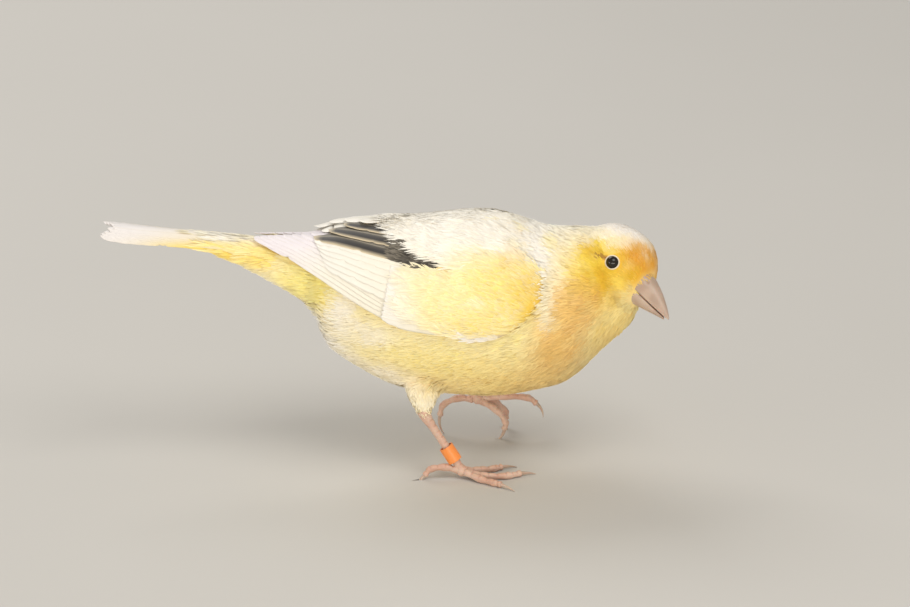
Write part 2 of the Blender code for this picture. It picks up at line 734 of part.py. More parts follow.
def make_claw(name, key, controls):
    """A curved claw that starts a gap past the toe, curls under it and is flat where it meets the floor."""
    last = Vector(controls[-1])
    ahead = (last - Vector(controls[-2])).normalized()
    start = last + ahead * GAP
    length = HIND_CLAW_LENGTH if key == "hind" else CLAW_LENGTH
    palm = 1.0 if key == "hind" else -1.0
    steep = abs(ahead.z) > 0.6
    under = Vector((palm if steep else 0.0, 0.0, -0.3 if steep else -1.0))
    under = (under - ahead * under.dot(ahead)).normalized()
    curl = CLAW_CURL if last.z > 1.5 else 2.3 * last.z / length
    path = []
    for t in spread(0.0, 1.0, 6):
        forward = ahead * (length * sin(t * curl) / curl)
        fall = under * (length * (1 - cos(t * curl)) / curl)
        path.append(start + forward + fall)
    radii = [CLAW_RADIUS * (1 - 0.8 * t) for t in spread(0.0, 1.0, 6)]
    return fuse(name, [tube(path, radii, 7)], [floor_cutter()])


def build():
    for item in list(bpy.data.objects):
        bpy.data.objects.remove(item)
    plumage = make_material("plumage", (0.85, 0.72, 0.22), 0.75)
    white = make_material("flight_feather", (0.86, 0.82, 0.62), 0.6)
    horn = make_material("horn", (0.72, 0.48, 0.4), 0.4)
    skin = make_material("leg_skin", (0.7, 0.45, 0.38), 0.5)
    eye = make_material("eye", (0.01, 0.01, 0.012), 0.08)
    band = make_material("ring_plastic", (0.9, 0.3, 0.06), 0.35)
    for body in (make_torso(), make_neck(), make_head()):
        finish(body, plumage)
    finish(make_tail(), white, False)
    for word, side in (("right", RIGHT), ("left", LEFT)):
        leg = LEGS[word]
        finish(make_wing("wing_" + word, side), white, False)
        finish(make_eye("eye_" + word, side), eye)
        finish(make_thigh("thigh_" + word, leg), plumage)
        finish(make_shank("shank_" + word, leg), skin)
        finish(make_foot("foot_" + word, leg), skin)
        for key, controls in leg["toes"].items():
            finish(make_claw("claw_" + word + "_" + key, key, controls), horn)
    finish(make_bill_half("beak_upper", True), horn)
    finish(make_bill_half("beak_lower", False), horn)
    right = LEGS["right"]
    axis = (right["joint"] - right["ankle"]).normalized()
    finish(make_ring_band("leg_ring", right["ankle"] + axis * 10.2, axis, 1.2, 1.55, 3.7), band)


build()
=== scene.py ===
from math import atan2, cos, exp, pi, radians, sin, sqrt

import bmesh
import bpy
import numpy as np
from mathutils import Matrix, Vector
from mathutils.bvhtree import BVHTree


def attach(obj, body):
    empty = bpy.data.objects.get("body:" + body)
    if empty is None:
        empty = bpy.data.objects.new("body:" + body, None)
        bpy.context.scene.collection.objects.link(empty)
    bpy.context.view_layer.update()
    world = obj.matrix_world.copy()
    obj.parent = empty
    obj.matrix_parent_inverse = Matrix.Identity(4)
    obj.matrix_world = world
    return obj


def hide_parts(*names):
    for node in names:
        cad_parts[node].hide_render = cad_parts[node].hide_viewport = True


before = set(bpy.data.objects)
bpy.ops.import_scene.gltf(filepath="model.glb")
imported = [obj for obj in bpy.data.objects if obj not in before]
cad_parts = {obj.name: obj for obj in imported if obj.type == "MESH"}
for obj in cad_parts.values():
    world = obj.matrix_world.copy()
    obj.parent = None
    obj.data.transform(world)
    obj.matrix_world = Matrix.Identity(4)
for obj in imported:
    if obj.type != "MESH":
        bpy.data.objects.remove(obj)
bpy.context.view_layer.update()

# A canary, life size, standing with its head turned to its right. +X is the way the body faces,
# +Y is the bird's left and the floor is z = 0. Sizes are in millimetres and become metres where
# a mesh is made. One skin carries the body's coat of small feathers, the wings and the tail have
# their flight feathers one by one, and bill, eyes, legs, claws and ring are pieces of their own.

MM = 0.001
RIGHT, LEFT = -1, 1

# Camera: how it looks down, how far it stands, and what it looks at
CAMERA_DOWN = radians(20.0)
CAMERA_DISTANCE = 1200.0
CAMERA_TARGET = Vector((15.1, 0.0, 35.3))
SENSOR = 36.0
IMAGE_WIDTH_PIXELS = 910
PIXELS_PER_MM = 4.7

# Body, seen from the side: station x, middle height, half width, rise above and drop below the middle
TORSO_STATIONS = (
    (-14.0, 41.0, 7.6, 7.6, 9.0),
    (-12.6, 40.0, 9.0, 9.4, 12.8),
    (-9.4, 38.8, 10.8, 12.0, 14.9),
    (-3.0, 37.4, 13.0, 15.0, 17.7),
    (3.4, 36.2, 14.9, 16.8, 19.3),
    (9.8, 35.7, 16.0, 18.0, 19.8),
    (16.2, 35.5, 16.3, 19.4, 20.2),
    (22.6, 35.4, 16.4, 20.4, 20.4),
    (28.9, 35.4, 16.0, 19.5, 19.8),
    (33.0, 35.4, 15.0, 17.6, 18.9),
    (36.0, 35.6, 14.0, 16.6, 18.3),
)
# Upper breast and neck: x, middle's y, middle height, half width, rise, drop
NECK_STATIONS = (
    (31.0, 0.0, 35.4, 14.4, 17.4, 18.4),
    (33.3, 0.0, 35.4, 14.9, 17.5, 18.8),
    (38.0, 0.0, 35.8, 13.9, 16.4, 18.1),
    (42.0, -0.1, 36.8, 12.6, 15.8, 16.3),
    (46.0, 0.2, 38.0, 9.9, 13.4, 13.3),
    (49.8, -1.0, 38.2, 6.6, 9.0, 9.7),
    (53.2, -2.4, 37.2, 3.8, 4.6, 5.0),
    (54.4, -3.1, 36.5, 0.6, 0.8, 0.8),
)
# Head: where its middle is, which way it looks, and its sections ahead of the middle:
# distance, height of the section's middle, half width, rise, drop
HEAD_CENTRE = Vector((49.6, -0.5, 44.0))
HEAD_YAW = radians(-43.6)
HEAD_PITCH = radians(-13.3)
HEAD_ROLL = radians(-22.3)
HEAD_STATIONS = (
    (-9.4, -0.4, 3.2, 3.4, 3.2),
    (-8.0, -0.3, 5.6, 5.9, 5.6),
    (-5.4, 0.0, 7.6, 7.8, 7.6),
    (-2.5, 0.0, 8.2, 8.7, 8.2),
    (1.0, 0.0, 7.9, 8.8, 8.0),
    (4.2, 0.0, 6.9, 8.2, 7.2),
    (6.4, -0.2, 5.6, 6.9, 6.6),
    (7.9, -0.6, 4.3, 5.4, 5.6),
    (8.8, -1.2, 3.3, 3.6, 4.2),
)
# Tail base: x, middle height, half width, half height
TAIL_BASE_STATIONS = (
    (-42.0, 50.5, 3.6, 1.0),
    (-38.0, 49.5, 4.6, 1.7),
    (-32.0, 47.8, 5.0, 3.0),
    (-24.0, 45.25, 5.4, 5.05),
    (-18.0, 43.15, 6.1, 6.55),
    (-14.3, 41.5, 6.8, 7.1),
    (-9.0, 41.0, 6.8, 6.4),
)
# Wing cradle: the middle surface of the folded wings, as x, middle height, half width, half height
CRADLE_STATIONS = (
    (-29.0, 48.3, 4.2, 3.4),
    (-20.0, 45.6, 7.4, 5.8),
    (-14.5, 42.6, 10.0, 8.8),
    (-9.4, 39.6, 12.3, 13.3),
    (0.0, 36.8, 15.4, 17.2),
    (10.0, 35.8, 17.2, 19.1),
    (20.0, 35.5, 17.9, 20.3),
    (30.0, 35.4, 17.0, 19.2),
    (36.0, 35.2, 15.2, 16.8),
)
# Turn in degrees of the folded wing's lower edge, and of its upper edge, along x
WING_LOW_EDGE = ((-20.0, 17.0), (-9.4, 15.0), (0.0, 10.0), (10.0, 0.0), (19.0, -7.0), (25.0, -5.0),
                 (30.0, 6.0), (34.5, 26.0))
WING_HIGH_EDGE = ((-2.0, 80.0), (10.0, 76.0), (17.0, 64.0), (22.0, 54.0), (28.0, 46.0), (34.5, 36.0))
# The same for the arm below the coverts, which reaches up under the shoulder's feathers
ARM_HIGH_EDGE = ((-2.0, 90.0), (20.0, 90.0), (24.0, 80.0), (29.0, 52.0), (34.5, 36.0))

# Lower edge of the dark tertials, and the edge of the shoulder's feathers over them
WEDGE_EDGE = ((-5.0, 53.0), (-0.9, 48.7), (3.4, 44.4), (7.7, 41.2), (11.1, 38.7), (14.0, 37.0))
FRINGE_EDGE = ((3.0, 80.0), (5.0, 69.0), (6.2, 63.5), (7.5, 58.6), (9.2, 54.2), (10.7, 50.1), (12.4, 47.1), (14.0, 44.3),
               (16.5, 40.1), (21.0, 38.0))

# Tail: the line its feathers follow
TAIL_LEVEL = 49.3
TAIL_LEVEL_X = -27.0
TAIL_RISE = 0.1
TAIL_ROLL = 0.07
TAIL_TIP_X = -60.2
TAIL_NOTCH = 2.0
TAIL_PAIRS = 6

# Eyes and lids
EYE_AHEAD = 3.0
EYE_HEIGHT = 1.5
EYE_RADIUS = 1.45
EYE_DEPTH = 0.75
LID_REACH = 0.3

# Bill
BILL_BASE = 8.2
BILL_TIP = Vector((17.3, 0.0, -3.8))
BILL_ROOT_TOP = 2.4
BILL_ROOT_BOTTOM = -5.2
BILL_GAPE = -1.9
BILL_HALF_WIDTH = 3.1
BILL_SUNK = 1.6
MOUTH_GAP = 0.14

# Legs: hip, ankle, ball of the foot, and each toe's points from the ball to its last joint
LEGS = {
    "right": {
        "hip": Vector((8.0, -8.2, 22.0)),
        "ankle": Vector((8.6, -10.2, 13.9)),
        "joint": Vector((16.6, -11.6, 1.7)),
        "toes": {
            "hind": ((16.0, -11.6, 1.7), (13.0, -11.8, 2.5), (10.0, -12.1, 2.2), (8.6, -12.4, 0.8)),
            "inner": ((17.2, -11.2, 1.5), (20.4, -9.6, 1.0), (23.6, -7.9, 0.7), (25.2, -7.1, 0.75)),
            "middle": ((17.4, -11.7, 1.5), (21.6, -12.9, 0.9), (26.4, -12.1, 0.72), (29.2, -10.8, 0.75)),
            "outer": ((17.2, -12.0, 1.5), (20.4, -14.3, 0.85), (23.4, -16.3, 0.7), (24.9, -17.4, 0.75)),
        },
    },
    "left": {
        "hip": Vector((11.0, 9.6, 24.0)),
        "ankle": Vector((11.2, 11.6, 19.0)),
        "joint": Vector((20.0, 13.2, 8.6)),
        "toes": {
            "hind": ((19.2, 13.2, 8.4), (15.8, 13.6, 8.5), (12.6, 14.0, 6.8), (11.8, 14.2, 4.2)),
            "inner": ((20.4, 12.8, 8.4), (24.0, 12.0, 6.4), (26.0, 11.6, 3.8), (25.8, 11.4, 2.0)),
            "middle": ((20.8, 13.2, 8.6), (26.0, 13.4, 9.0), (30.8, 13.6, 8.6), (32.8, 13.8, 7.2)),
            "outer": ((20.4, 13.8, 8.4), (23.6, 15.6, 7.0), (26.0, 17.0, 4.2), (26.2, 17.6, 2.2)),
        },
    },
}
BALL_RADIUS = 1.25
TOE_RADIUS = 0.78
TOE_TIP_RADIUS = 0.6
SHANK_RADIUS = 0.82
ANKLE_RADIUS = 1.15
CLAW_LENGTH = 3.4
HIND_CLAW_LENGTH = 4.6
CLAW_RADIUS = 0.42
CLAW_CURL = 1.0
RING_ALONG_SHANK = 10.2
RING_INNER = 1.2
RING_OUTER = 1.55
RING_LENGTH = 3.7

# Skin and coat
VOXEL = 0.45
COAT_DEPTH = 0.5
FACE_COAT_DEPTH = 0.28
SEED = 20
RAY_HEIGHT = 4.0
COVERT_PITCH = 0.95
BLADE_ROLL = 0.06
BLADE_RIDGE = 0.14
BLADE_ROUND = 0.25
WEB_TONE = 0.95
WEB_THICKNESS = 0.07
# Painted shade: the feathers' colour is deepened and warmed towards each blade's root, where the blades shade one
# another.
ROOT_PAINTED_SHADE = np.array((1.0, 0.95, 0.84))

# Colours of the plumage, as linear red, green and blue
CREAM = np.array((0.95, 0.88, 0.68))
WHITE = np.array((0.95, 0.92, 0.86))
PALE_YELLOW = np.array((0.95, 0.83, 0.43))
STRAW = np.array((0.95, 0.74, 0.28))
PEARL = np.array((0.86, 0.815, 0.80))
ROSY_WHITE = np.array((0.88, 0.82, 0.85))
LEMON = np.array((0.98, 0.83, 0.22))
YELLOW = np.array((0.94, 0.72, 0.13))
# Rump yellow, lighter and warmer than its own lemon: painted light standing in for light bounced under the wing.
RUMP_YELLOW_PAINTED_LIGHT = np.array((1.0, 0.87, 0.26))
GOLDEN_YELLOW = np.array((0.90, 0.68, 0.08))
GOLD = np.array((0.78, 0.47, 0.03))
ORANGE = np.array((0.72, 0.34, 0.03))
BUFF = np.array((0.82, 0.53, 0.17))
DARK = np.array((0.03, 0.027, 0.026))
GREY_BROWN = np.array((0.28, 0.25, 0.20))
PALE_BUFF = np.array((0.78, 0.66, 0.46))
BROWN = np.array((0.30, 0.13, 0.04))


def interpolate(stations, x):
    """Values of the stations at x, on a cubic that passes through each station."""
    count = len(stations)
    last = count - 2
    place = 0
    while place < last and x > stations[place + 1][0]:
        place += 1
    left = stations[place]
    right = stations[place + 1]
    before = stations[max(place - 1, 0)]
    after = stations[min(place + 2, count - 1)]
    span = right[0] - left[0]
    t = min(max((x - left[0]) / span, 0.0), 1.0)
    values = []
    for k in range(1, len(left)):
        slope_left = (right[k] - before[k]) / (right[0] - before[0]) * span
        slope_right = (after[k] - left[k]) / (after[0] - left[0]) * span
        value = (2 * t**3 - 3 * t**2 + 1) * left[k] + (t**3 - 2 * t**2 + t) * slope_left
        value += (3 * t**2 - 2 * t**3) * right[k] + (t**3 - t**2) * slope_right
        values.append(value)
    return values


def spread(start, end, count):
    """Evenly spaced values from start to end."""
    return [start + (end - start) * i / (count - 1) for i in range(count)]


def curve_point(controls, t):
    """A point of the smooth curve through the control points; t runs from 0 to 1."""
    stations = [(float(i), *control) for i, control in enumerate(controls)]
    return Vector(interpolate(stations, t * (len(controls) - 1)))


def axes(yaw, pitch, roll):
    """Forward, left and up directions of a frame turned by yaw, pitch (up is positive) and roll."""
    turn = Matrix.Rotation(yaw, 3, "Z") @ Matrix.Rotation(-pitch, 3, "Y") @ Matrix.Rotation(roll, 3, "X")
    return turn.col[0].copy(), turn.col[1].copy(), turn.col[2].copy()


HEAD_FORWARD, HEAD_LEFT, HEAD_UP = axes(HEAD_YAW, HEAD_PITCH, HEAD_ROLL)


def head_point(ahead, left, up):
    """A point given in the head's own directions."""
    return HEAD_CENTRE + HEAD_FORWARD * ahead + HEAD_LEFT * left + HEAD_UP * up


def head_surface(ahead, up, side):
    """A point on the head's side and the outward direction there."""
    middle, half_width, rise, drop = interpolate(HEAD_STATIONS, ahead)
    reach = rise if up > middle else drop
    across = half_width * sqrt(max(1 - ((up - middle) / reach) ** 2, 0.0))
    outward = HEAD_LEFT * (side * across / half_width**2) + HEAD_UP * ((up - middle) / reach**2)
    outward += HEAD_FORWARD * (0.35 / half_width)
    return head_point(ahead, side * across, up), outward.normalized()


def eye_place(side):
    """Centre of the eye and the way it looks."""
    surface, outward = head_surface(EYE_AHEAD, EYE_HEIGHT, side)
    return surface - outward * EYE_DEPTH, outward


def cradle(x, turn, lift, side):
    """A point above the folded wing's middle surface; turn 0 is level with the middle, 90 on the back."""
    middle, half_width, half_height = interpolate(CRADLE_STATIONS, x)
    outward = Vector((0, side * cos(turn) * half_height, sin(turn) * half_width)).normalized()
    return Vector((x, side * half_width * cos(turn), middle + half_height * sin(turn))) + outward * lift


def cradle_frame(x, turn, lift, side, ahead_x, ahead_turn):
    """A point of the folded wing, the directions along a feather and across it (upward), and the normal."""
    step = 0.02
    centre = cradle(x, turn, lift, side)
    along = cradle(x + ahead_x * step, turn + ahead_turn * step, lift, side) - centre
    along.normalize()
    middle, half_width, half_height = interpolate(CRADLE_STATIONS, x)
    normal = Vector((0, side * cos(turn) * half_height, sin(turn) * half_width)).normalized()
    normal = (normal - along * normal.dot(along)).normalized()
    across = normal.cross(along) * side
    if across.z < 0:
        across = -across
    return centre, along, across, normal


# Meshes

def add_sheet(bm, columns, rows, place):
    """Adds a grid of cells to bm and moves its corner (u, v), each from 0 to 1, to place(u, v)."""
    made = bmesh.ops.create_grid(bm, x_segments=columns, y_segments=rows, size=0.5, calc_uvs=True)
    for vertex in made["verts"]:
        vertex.co = place(vertex.co.x + 0.5, vertex.co.y + 0.5) * MM
    return made["verts"]


def add_tube(bm, columns, rows, place):
    """Adds a closed tube; u goes round it from 0 to 1, and v along it. Its ends are filled."""
    made = add_sheet(bm, columns, rows, place)
    bmesh.ops.remove_doubles(bm, verts=made, dist=0.0002 * MM)
    rims = [edge for edge in bm.edges if edge.is_boundary]
    filled = bmesh.ops.holes_fill(bm, edges=rims, sides=0)
    bmesh.ops.triangulate(bm, faces=filled["faces"])
    bmesh.ops.recalc_face_normals(bm, faces=bm.faces)


def new_sheet():
    """An empty bmesh with a UV map that runs across and along each sheet."""
    bm = bmesh.new()
    bm.loops.layers.uv.new("Lie")
    return bm


def make_object(name, bm, material, smooth=True):
    """A piece of the bird from a bmesh."""
    mesh = bpy.data.meshes.new(name)
    bm.to_mesh(mesh)
    bm.free()
    piece = bpy.data.objects.new(name, mesh)
    bpy.context.scene.collection.objects.link(piece)
    mesh.materials.append(material)
    if smooth:
        mesh.shade_smooth()
    return piece


def belong(piece, slot, *nodes):
    """The piece rides on the body and stands for some nodes, which are hidden; slot is not used."""
    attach(piece, "root")
    if nodes:
        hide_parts(*nodes)
    return piece


# Shader maths

class Value:
    """A node's output. Its operators add the Math nodes that work out an expression."""

    def __init__(self, finish, socket):
        self.finish = finish
        self.socket = socket

    def maths(self, operation, first, second):
        return self.finish.node("ShaderNodeMath", {"operation": operation}, {0: first, 1: second})

    def __add__(self, other):
        return self.maths("ADD", self, other)

    def __radd__(self, other):
        return self.maths("ADD", other, self)

    def __sub__(self, other):
        return self.maths("SUBTRACT", self, other)

    def __rsub__(self, other):
        return self.maths("SUBTRACT", other, self)

    def __mul__(self, other):
        return self.maths("MULTIPLY", self, other)

    def __rmul__(self, other):
        return self.maths("MULTIPLY", other, self)

    def __pow__(self, other):
        return self.maths("POWER", self, other)

    def sine(self):
        return self.maths("SINE", self, 0.0)

    def size(self):
        return self.maths("ABSOLUTE", self, 0.0)

    def between(self, low, high):
        """0 below low, 1 above high, and a smooth rise between them."""
        settings = {"interpolation_type": "SMOOTHSTEP", "clamp": True}
        return self.finish.node("ShaderNodeMapRange", settings, {"Value": self, 1: low, 2: high})


class Finish:
    """A material that is being put together."""

    def __init__(self, name, roughness, **constants):
        self.material = bpy.data.materials.new(name)
        self.material.use_nodes = True
        self.tree = self.material.node_tree
        self.shader = self.tree.nodes["Principled BSDF"]
        self.feed(self.shader, "Roughness", roughness)
        for socket, constant in constants.items():
            self.feed(self.shader, socket.replace("_", " "), constant)

    def feed(self, node, key, value):
        """Sets an input of a node, or links it."""
        if isinstance(value, Value):
            self.tree.links.new(value.socket, node.inputs[key])
        elif node.inputs[key].type == "RGBA":
            node.inputs[key].default_value = (*[float(part) for part in value], 1.0)
        else:
            node.inputs[key].default_value = value

    def node(self, kind, settings, inputs, output=0):
        """Any node: its settings are set first, then its inputs."""
        node = self.tree.nodes.new(kind)
        for key, value in settings.items():
            setattr(node, key, value)
        for key, value in inputs.items():
            self.feed(node, key, value)
        return Value(self, node.outputs[output])

    def attribute(self, name, output="Fac"):
        return self.node("ShaderNodeAttribute", {"attribute_name": name}, {}, output)

    def place(self):
        """Where the surface is, in metres."""
        return self.node("ShaderNodeTexCoord", {}, {}, "Object")

    def noise(self, scale, detail=3.0):
        inputs = {"Vector": self.place(), "Scale": scale, "Detail": detail}
        return self.node("ShaderNodeTexNoise", {}, inputs)

    def mix(self, amount, first, second, blend="MIX"):
        """Two colours, mixed by an amount from 0 to 1."""
        settings = {"data_type": "RGBA", "blend_type": blend}
        return self.node("ShaderNodeMix", settings, {0: amount, 6: first, 7: second}, 2)

    def colour(self, value):
        self.feed(self.shader, "Base Color", value)

    def bump(self, height, distance, strength=1.0):
        inputs = {"Height": height, "Distance": distance * MM, "Strength": strength}
        self.feed(self.shader, "Normal", self.node("ShaderNodeBump", {}, inputs))


def coat_finish():
    """Small feathers: their own colour, a little darker and warmer at the root as painted shade, with a soft sheen."""
    finish = Finish("plumage", 0.72, Specular_IOR_Level=0.2, Sheen_Weight=0.1)
    own = finish.attribute("plumage", "Color")
    patch = finish.noise(900.0, 2.0).between(0.3, 0.7)
    finish.colour(finish.mix(0.08 * patch, own, WHITE * 0.7, "MULTIPLY"))
    return finish.material


def skin_finish():
    """Down under the feathers: their own colour made deeper and warmer as painted shade, so the gaps between the
    feathers look shaded.
    """
    finish = Finish("down", 0.85, Sheen_Weight=0.1)
    own = finish.attribute("plumage", "Color")
    # Painted shade: the plumage's colour darkened and warmed where the skin shows in the gaps between feathers.
    finish.colour(finish.mix(0.45, own, (0.95, 0.75, 0.45), "MULTIPLY"))
    finish.bump(finish.noise(1600.0), 0.15)
    return finish.material


def quill_finish():
    """Flight feathers: fine slanted barbs each side of a pale shaft."""
    finish = Finish("flight_feather", 0.5, Sheen_Weight=0.12, Specular_IOR_Level=0.35)
    own = finish.attribute("plumage", "Color")
    along = finish.attribute("quill")
    out = finish.attribute("web")
    slant = along - 1.1 * out.size()
    wave = (slant * (2 * pi / 0.32)).sine()
    uneven = finish.noise(500.0).between(0.35, 0.65)
    lines = (0.5 + 0.5 * wave) * (0.5 + 0.5 * uneven)
    shaft = 1.0 - out.size().between(0.06, 0.13)
    barbed = finish.mix(0.16 * lines, own, (0.74, 0.68, 0.58), "MULTIPLY")
    finish.colour(finish.mix(0.25 * shaft, barbed, (0.78, 0.68, 0.50)))
    finish.bump(lines + 1.5 * shaft, 0.02, 0.7)
    return finish.material


def bill_finish():
    """Pinkish horn with a faint grain."""
    finish = Finish("horn", 0.36, Specular_IOR_Level=0.5, Subsurface_Weight=0.15, Subsurface_Scale=0.0006)
    grain = finish.noise(700.0)
    wide = finish.noise(220.0).between(0.35, 0.65)
    tone = finish.mix(wide, (0.45, 0.325, 0.245), (0.55, 0.42, 0.325))
    finish.colour(finish.mix(0.25 * grain, tone, (0.36, 0.24, 0.18)))
    finish.bump(grain, 0.03)
    return finish.material


def leg_finish():
    """Scaled skin of the legs, pink with deeper creases."""
    finish = Finish("leg_skin", 0.5, Specular_IOR_Level=0.4, Subsurface_Weight=0.12, Subsurface_Scale=0.0006)
    wide = finish.noise(300.0).between(0.3, 0.7)
    tone = finish.mix(wide, (0.58, 0.355, 0.26), (0.66, 0.47, 0.365))
    crease = finish.attribute("crease")
    finish.colour(finish.mix(0.55 * crease, tone, (0.42, 0.19, 0.13)))
    finish.bump(finish.noise(2500.0), 0.03)
    return finish.material


def eye_finish():
    finish = Finish("eye", 0.05, Specular_IOR_Level=0.4)
    iris = finish.noise(1500.0).between(0.3, 0.7)
    finish.colour(finish.mix(iris, (0.006, 0.006, 0.008), (0.02, 0.012, 0.008)))
    return finish.material


def lid_finish():
    finish = Finish("lid", 0.6)
    finish.colour(finish.mix(finish.noise(2500.0), (0.78, 0.62, 0.42), (0.86, 0.78, 0.62)))
    finish.bump(finish.noise(4000.0), 0.04)
    return finish.material


def ring_finish():
    """Orange plastic, lightly scuffed."""
    finish = Finish("ring_plastic", 0.38, Specular_IOR_Level=0.5)
    scuff = finish.noise(1800.0).between(0.5, 0.75)
    finish.colour(finish.mix(0.35 * scuff, (0.88, 0.28, 0.06), (0.92, 0.42, 0.18)))
    finish.bump(finish.noise(1200.0), 0.02)
    return finish.material


def floor_finish():
    finish = Finish("floor", 0.8)
    finish.colour(finish.mix(finish.noise(6.0), (0.55, 0.53, 0.495), (0.59, 0.57, 0.535)))
    return finish.material


# Markings

def step(value, low, high):
    """0 below low, 1 above high, and a smooth rise between them."""
    t = np.clip((value - low) / (high - low), 0.0, 1.0)
    return t * t * (3 - 2 * t)


def blob(points, centre, radii, soft=0.3):
    """1 inside an ellipsoid, fading to 0 past its surface."""
    distance = np.linalg.norm((points - np.array(centre)) / np.array(radii), axis=-1)
    return 1.0 - step(distance, soft, 1.15)


def waves(points, length, seed):
    """Smooth uneven values from about -1 to 1, changing over the given length."""
    rng = np.random.default_rng(seed)
    total = np.zeros(points.shape[:-1])
    for _ in range(5):
        direction = rng.normal(size=3)
        direction *= 2 * pi / length / np.linalg.norm(direction)
        total += np.sin(points @ direction * rng.uniform(0.7, 1.4) + rng.uniform(0, 2 * pi))
    return total / 2.6


def blend(colour, other, amount):
    """One colour mixed into another, point by point."""
    amount = np.clip(amount, 0.0, 1.0)[..., None]
    return colour * (1 - amount) + other * amount


def in_head(points):
    """Points in the head's own directions: ahead, left, up."""
    turn = np.array([HEAD_FORWARD, HEAD_LEFT, HEAD_UP])
    return (points - np.array(HEAD_CENTRE)) @ turn.T


def station_values(stations, x, column):
    """One column of the stations at many places along x."""
    table = np.array(stations)
    return np.interp(x, table[:, 0], table[:, column])


def on_head(points):
    """1 on the head, 0 below the neck."""
    return 1.0 - step(np.linalg.norm(points - np.array(HEAD_CENTRE), axis=-1), 8.5, 12.5)


def markings(points):
    """Colours of the plumage at many points, at the feathers' roots and at their tips."""
    mirrored = points * np.array((1, 0, 1)) + np.abs(points) * np.array((0, 1, 0))
    x, z = points[..., 0], points[..., 2]
    high = (z - station_values(TORSO_STATIONS, x, 1)) / station_values(TORSO_STATIONS, x, 3)
    uneven = waves(points, 9.0, 3)
    fine = waves(points, 3.0, 4)
    body = (
        (STRAW, 0.85, (20, 9, 20), (26, 16, 13)),
        (LEMON, 0.35, (12, 12, 28), (14, 8, 6)),
        (WHITE, 0.6, (2, 8, 21), (12, 9, 7)),
        (WHITE, 0.5, (-3, 13, 33), (9, 5, 4)),
        (BUFF, 0.65, (34, 4, 24), (13, 12, 9)),
        (WHITE, 1.0, (-13, 5, 27), (12, 11, 10)),
        (GOLDEN_YELLOW, 0.35, (48, 4, 33), (8, 9, 9)),
        (BUFF, 0.35, (47, 4, 31), (8, 9, 9)),
        (WHITE, 0.75, (-7, 9, 37), (5, 6, 6)),
        # The rump's yellow under the wing, lightened as painted light.
        (RUMP_YELLOW_PAINTED_LIGHT, 0.95, (-14.5, 7, 41.5), (9.0, 5.5, 6.5)),
        (WHITE, 0.85, (-26, 0, 40), (9, 9, 5)),
        (YELLOW, 0.9, (-33, 5, 47.5), (6.5, 3.0, 2.6)),
        (YELLOW, 0.8, (-24, 5, 47), (5, 3, 2.4)),
        (WHITE, 0.8, (-32, 0, 50), (11, 4, 2.2)),
        (YELLOW, 0.7, (31, 13, 43), (6, 6, 7)),
        (BUFF, 0.95, (38, 12, 32), (8, 7, 10)),
        (BUFF, 0.8, (41, 11, 41), (6, 6, 7)),
        (CREAM, 0.9, (36.0, 12.5, 41), (2.6, 5, 8)),
        (WHITE, 0.9, (34.0, 8, 49), (3.2, 11, 10)),
        (LEMON, 0.55, (36.8, 5.5, 50), (2.4, 3.0, 3.6)),
        (CREAM, 0.8, (38.8, 9, 46), (2.0, 6, 8)),
    )
    colour = np.broadcast_to(PALE_YELLOW, points.shape).copy()
    colour = blend(colour, WHITE, 0.92 * step(high + 0.12 * uneven, 0.5, 0.8) * step(x, -20, -8))
    colour = blend(colour, LEMON, 0.3 * step(fine + 0.6 * uneven, 0.6, 1.3))
    for other, amount, centre, radii in body:
        colour = blend(colour, other, amount * blob(mirrored, centre, radii) * (1 + 0.2 * fine))
    colour = blend(colour, CREAM, 0.85 * (1 - step(z, 18, 21)) * (1 - step(x, 12, 16)))
    head = in_head(points)
    head[..., 1] = np.abs(head[..., 1])
    on = on_head(points)
    face = (
        (GOLDEN_YELLOW, 0.95, (1, 8, -1), (10, 8, 9)),
        (CREAM, 0.6, (-7, 8, 2), (5, 7, 7)),
        (CREAM, 0.85, (-3.0, 6.6, 5.8), (4.5, 3.0, 2.6)),
        (GOLD, 0.7, (3.5, 7.0, -4.0), (6.5, 6.0, 5.5)),
        (GOLD, 0.5, (-1.0, 8.0, 1.3), (3.5, 3.5, 2.0)),
        (BUFF, 0.9, (2.0, 10, -9), (7, 7, 6)),
        (GOLD, 0.95, (6.0, 3.0, 3.0), (5.5, 6.0, 6.5)),
        (ORANGE, 0.85, (6.5, 3.0, 4.2), (4.0, 5.0, 3.6)),
        (YELLOW, 0.6, (6.0, 5.4, -2.2), (2.6, 2.0, 2.2)),
    )
    for other, amount, centre, radii in face:
        colour = blend(colour, other, amount * blob(head, centre, radii) * (1 + 0.35 * fine))
    crown = blob(head, (-1.5, 0, 8.6), (9.5, 7.2, 4.3))
    forehead = blob(head, (5.5, 0, 5.0), (5.0, 6.5, 4.0))
    colour = blend(colour, PEARL, 0.8 * crown)
    pale = 0.16 - 0.16 * step(x, 14, 28) * (1 - step(high, 0.4, 0.7)) + 0.06 * fine
    tips = blend(colour, WHITE, pale * (1 - on) + 0.35 * crown + 0.12 * forehead)
    marks = blob(head, (5.7, 5.5, -0.35), (0.9, 1.2, 0.22))
    for ahead, up in ((-0.4, 1.0), (0.2, 1.25), (0.8, 1.5), (1.2, 1.7)):
        marks = np.maximum(marks, blob(head, (ahead, 7.2, up), (0.8, 2.4, 0.5)))
    return blend(colour, BROWN, 0.95 * marks), blend(tips, BROWN, 0.9 * marks)


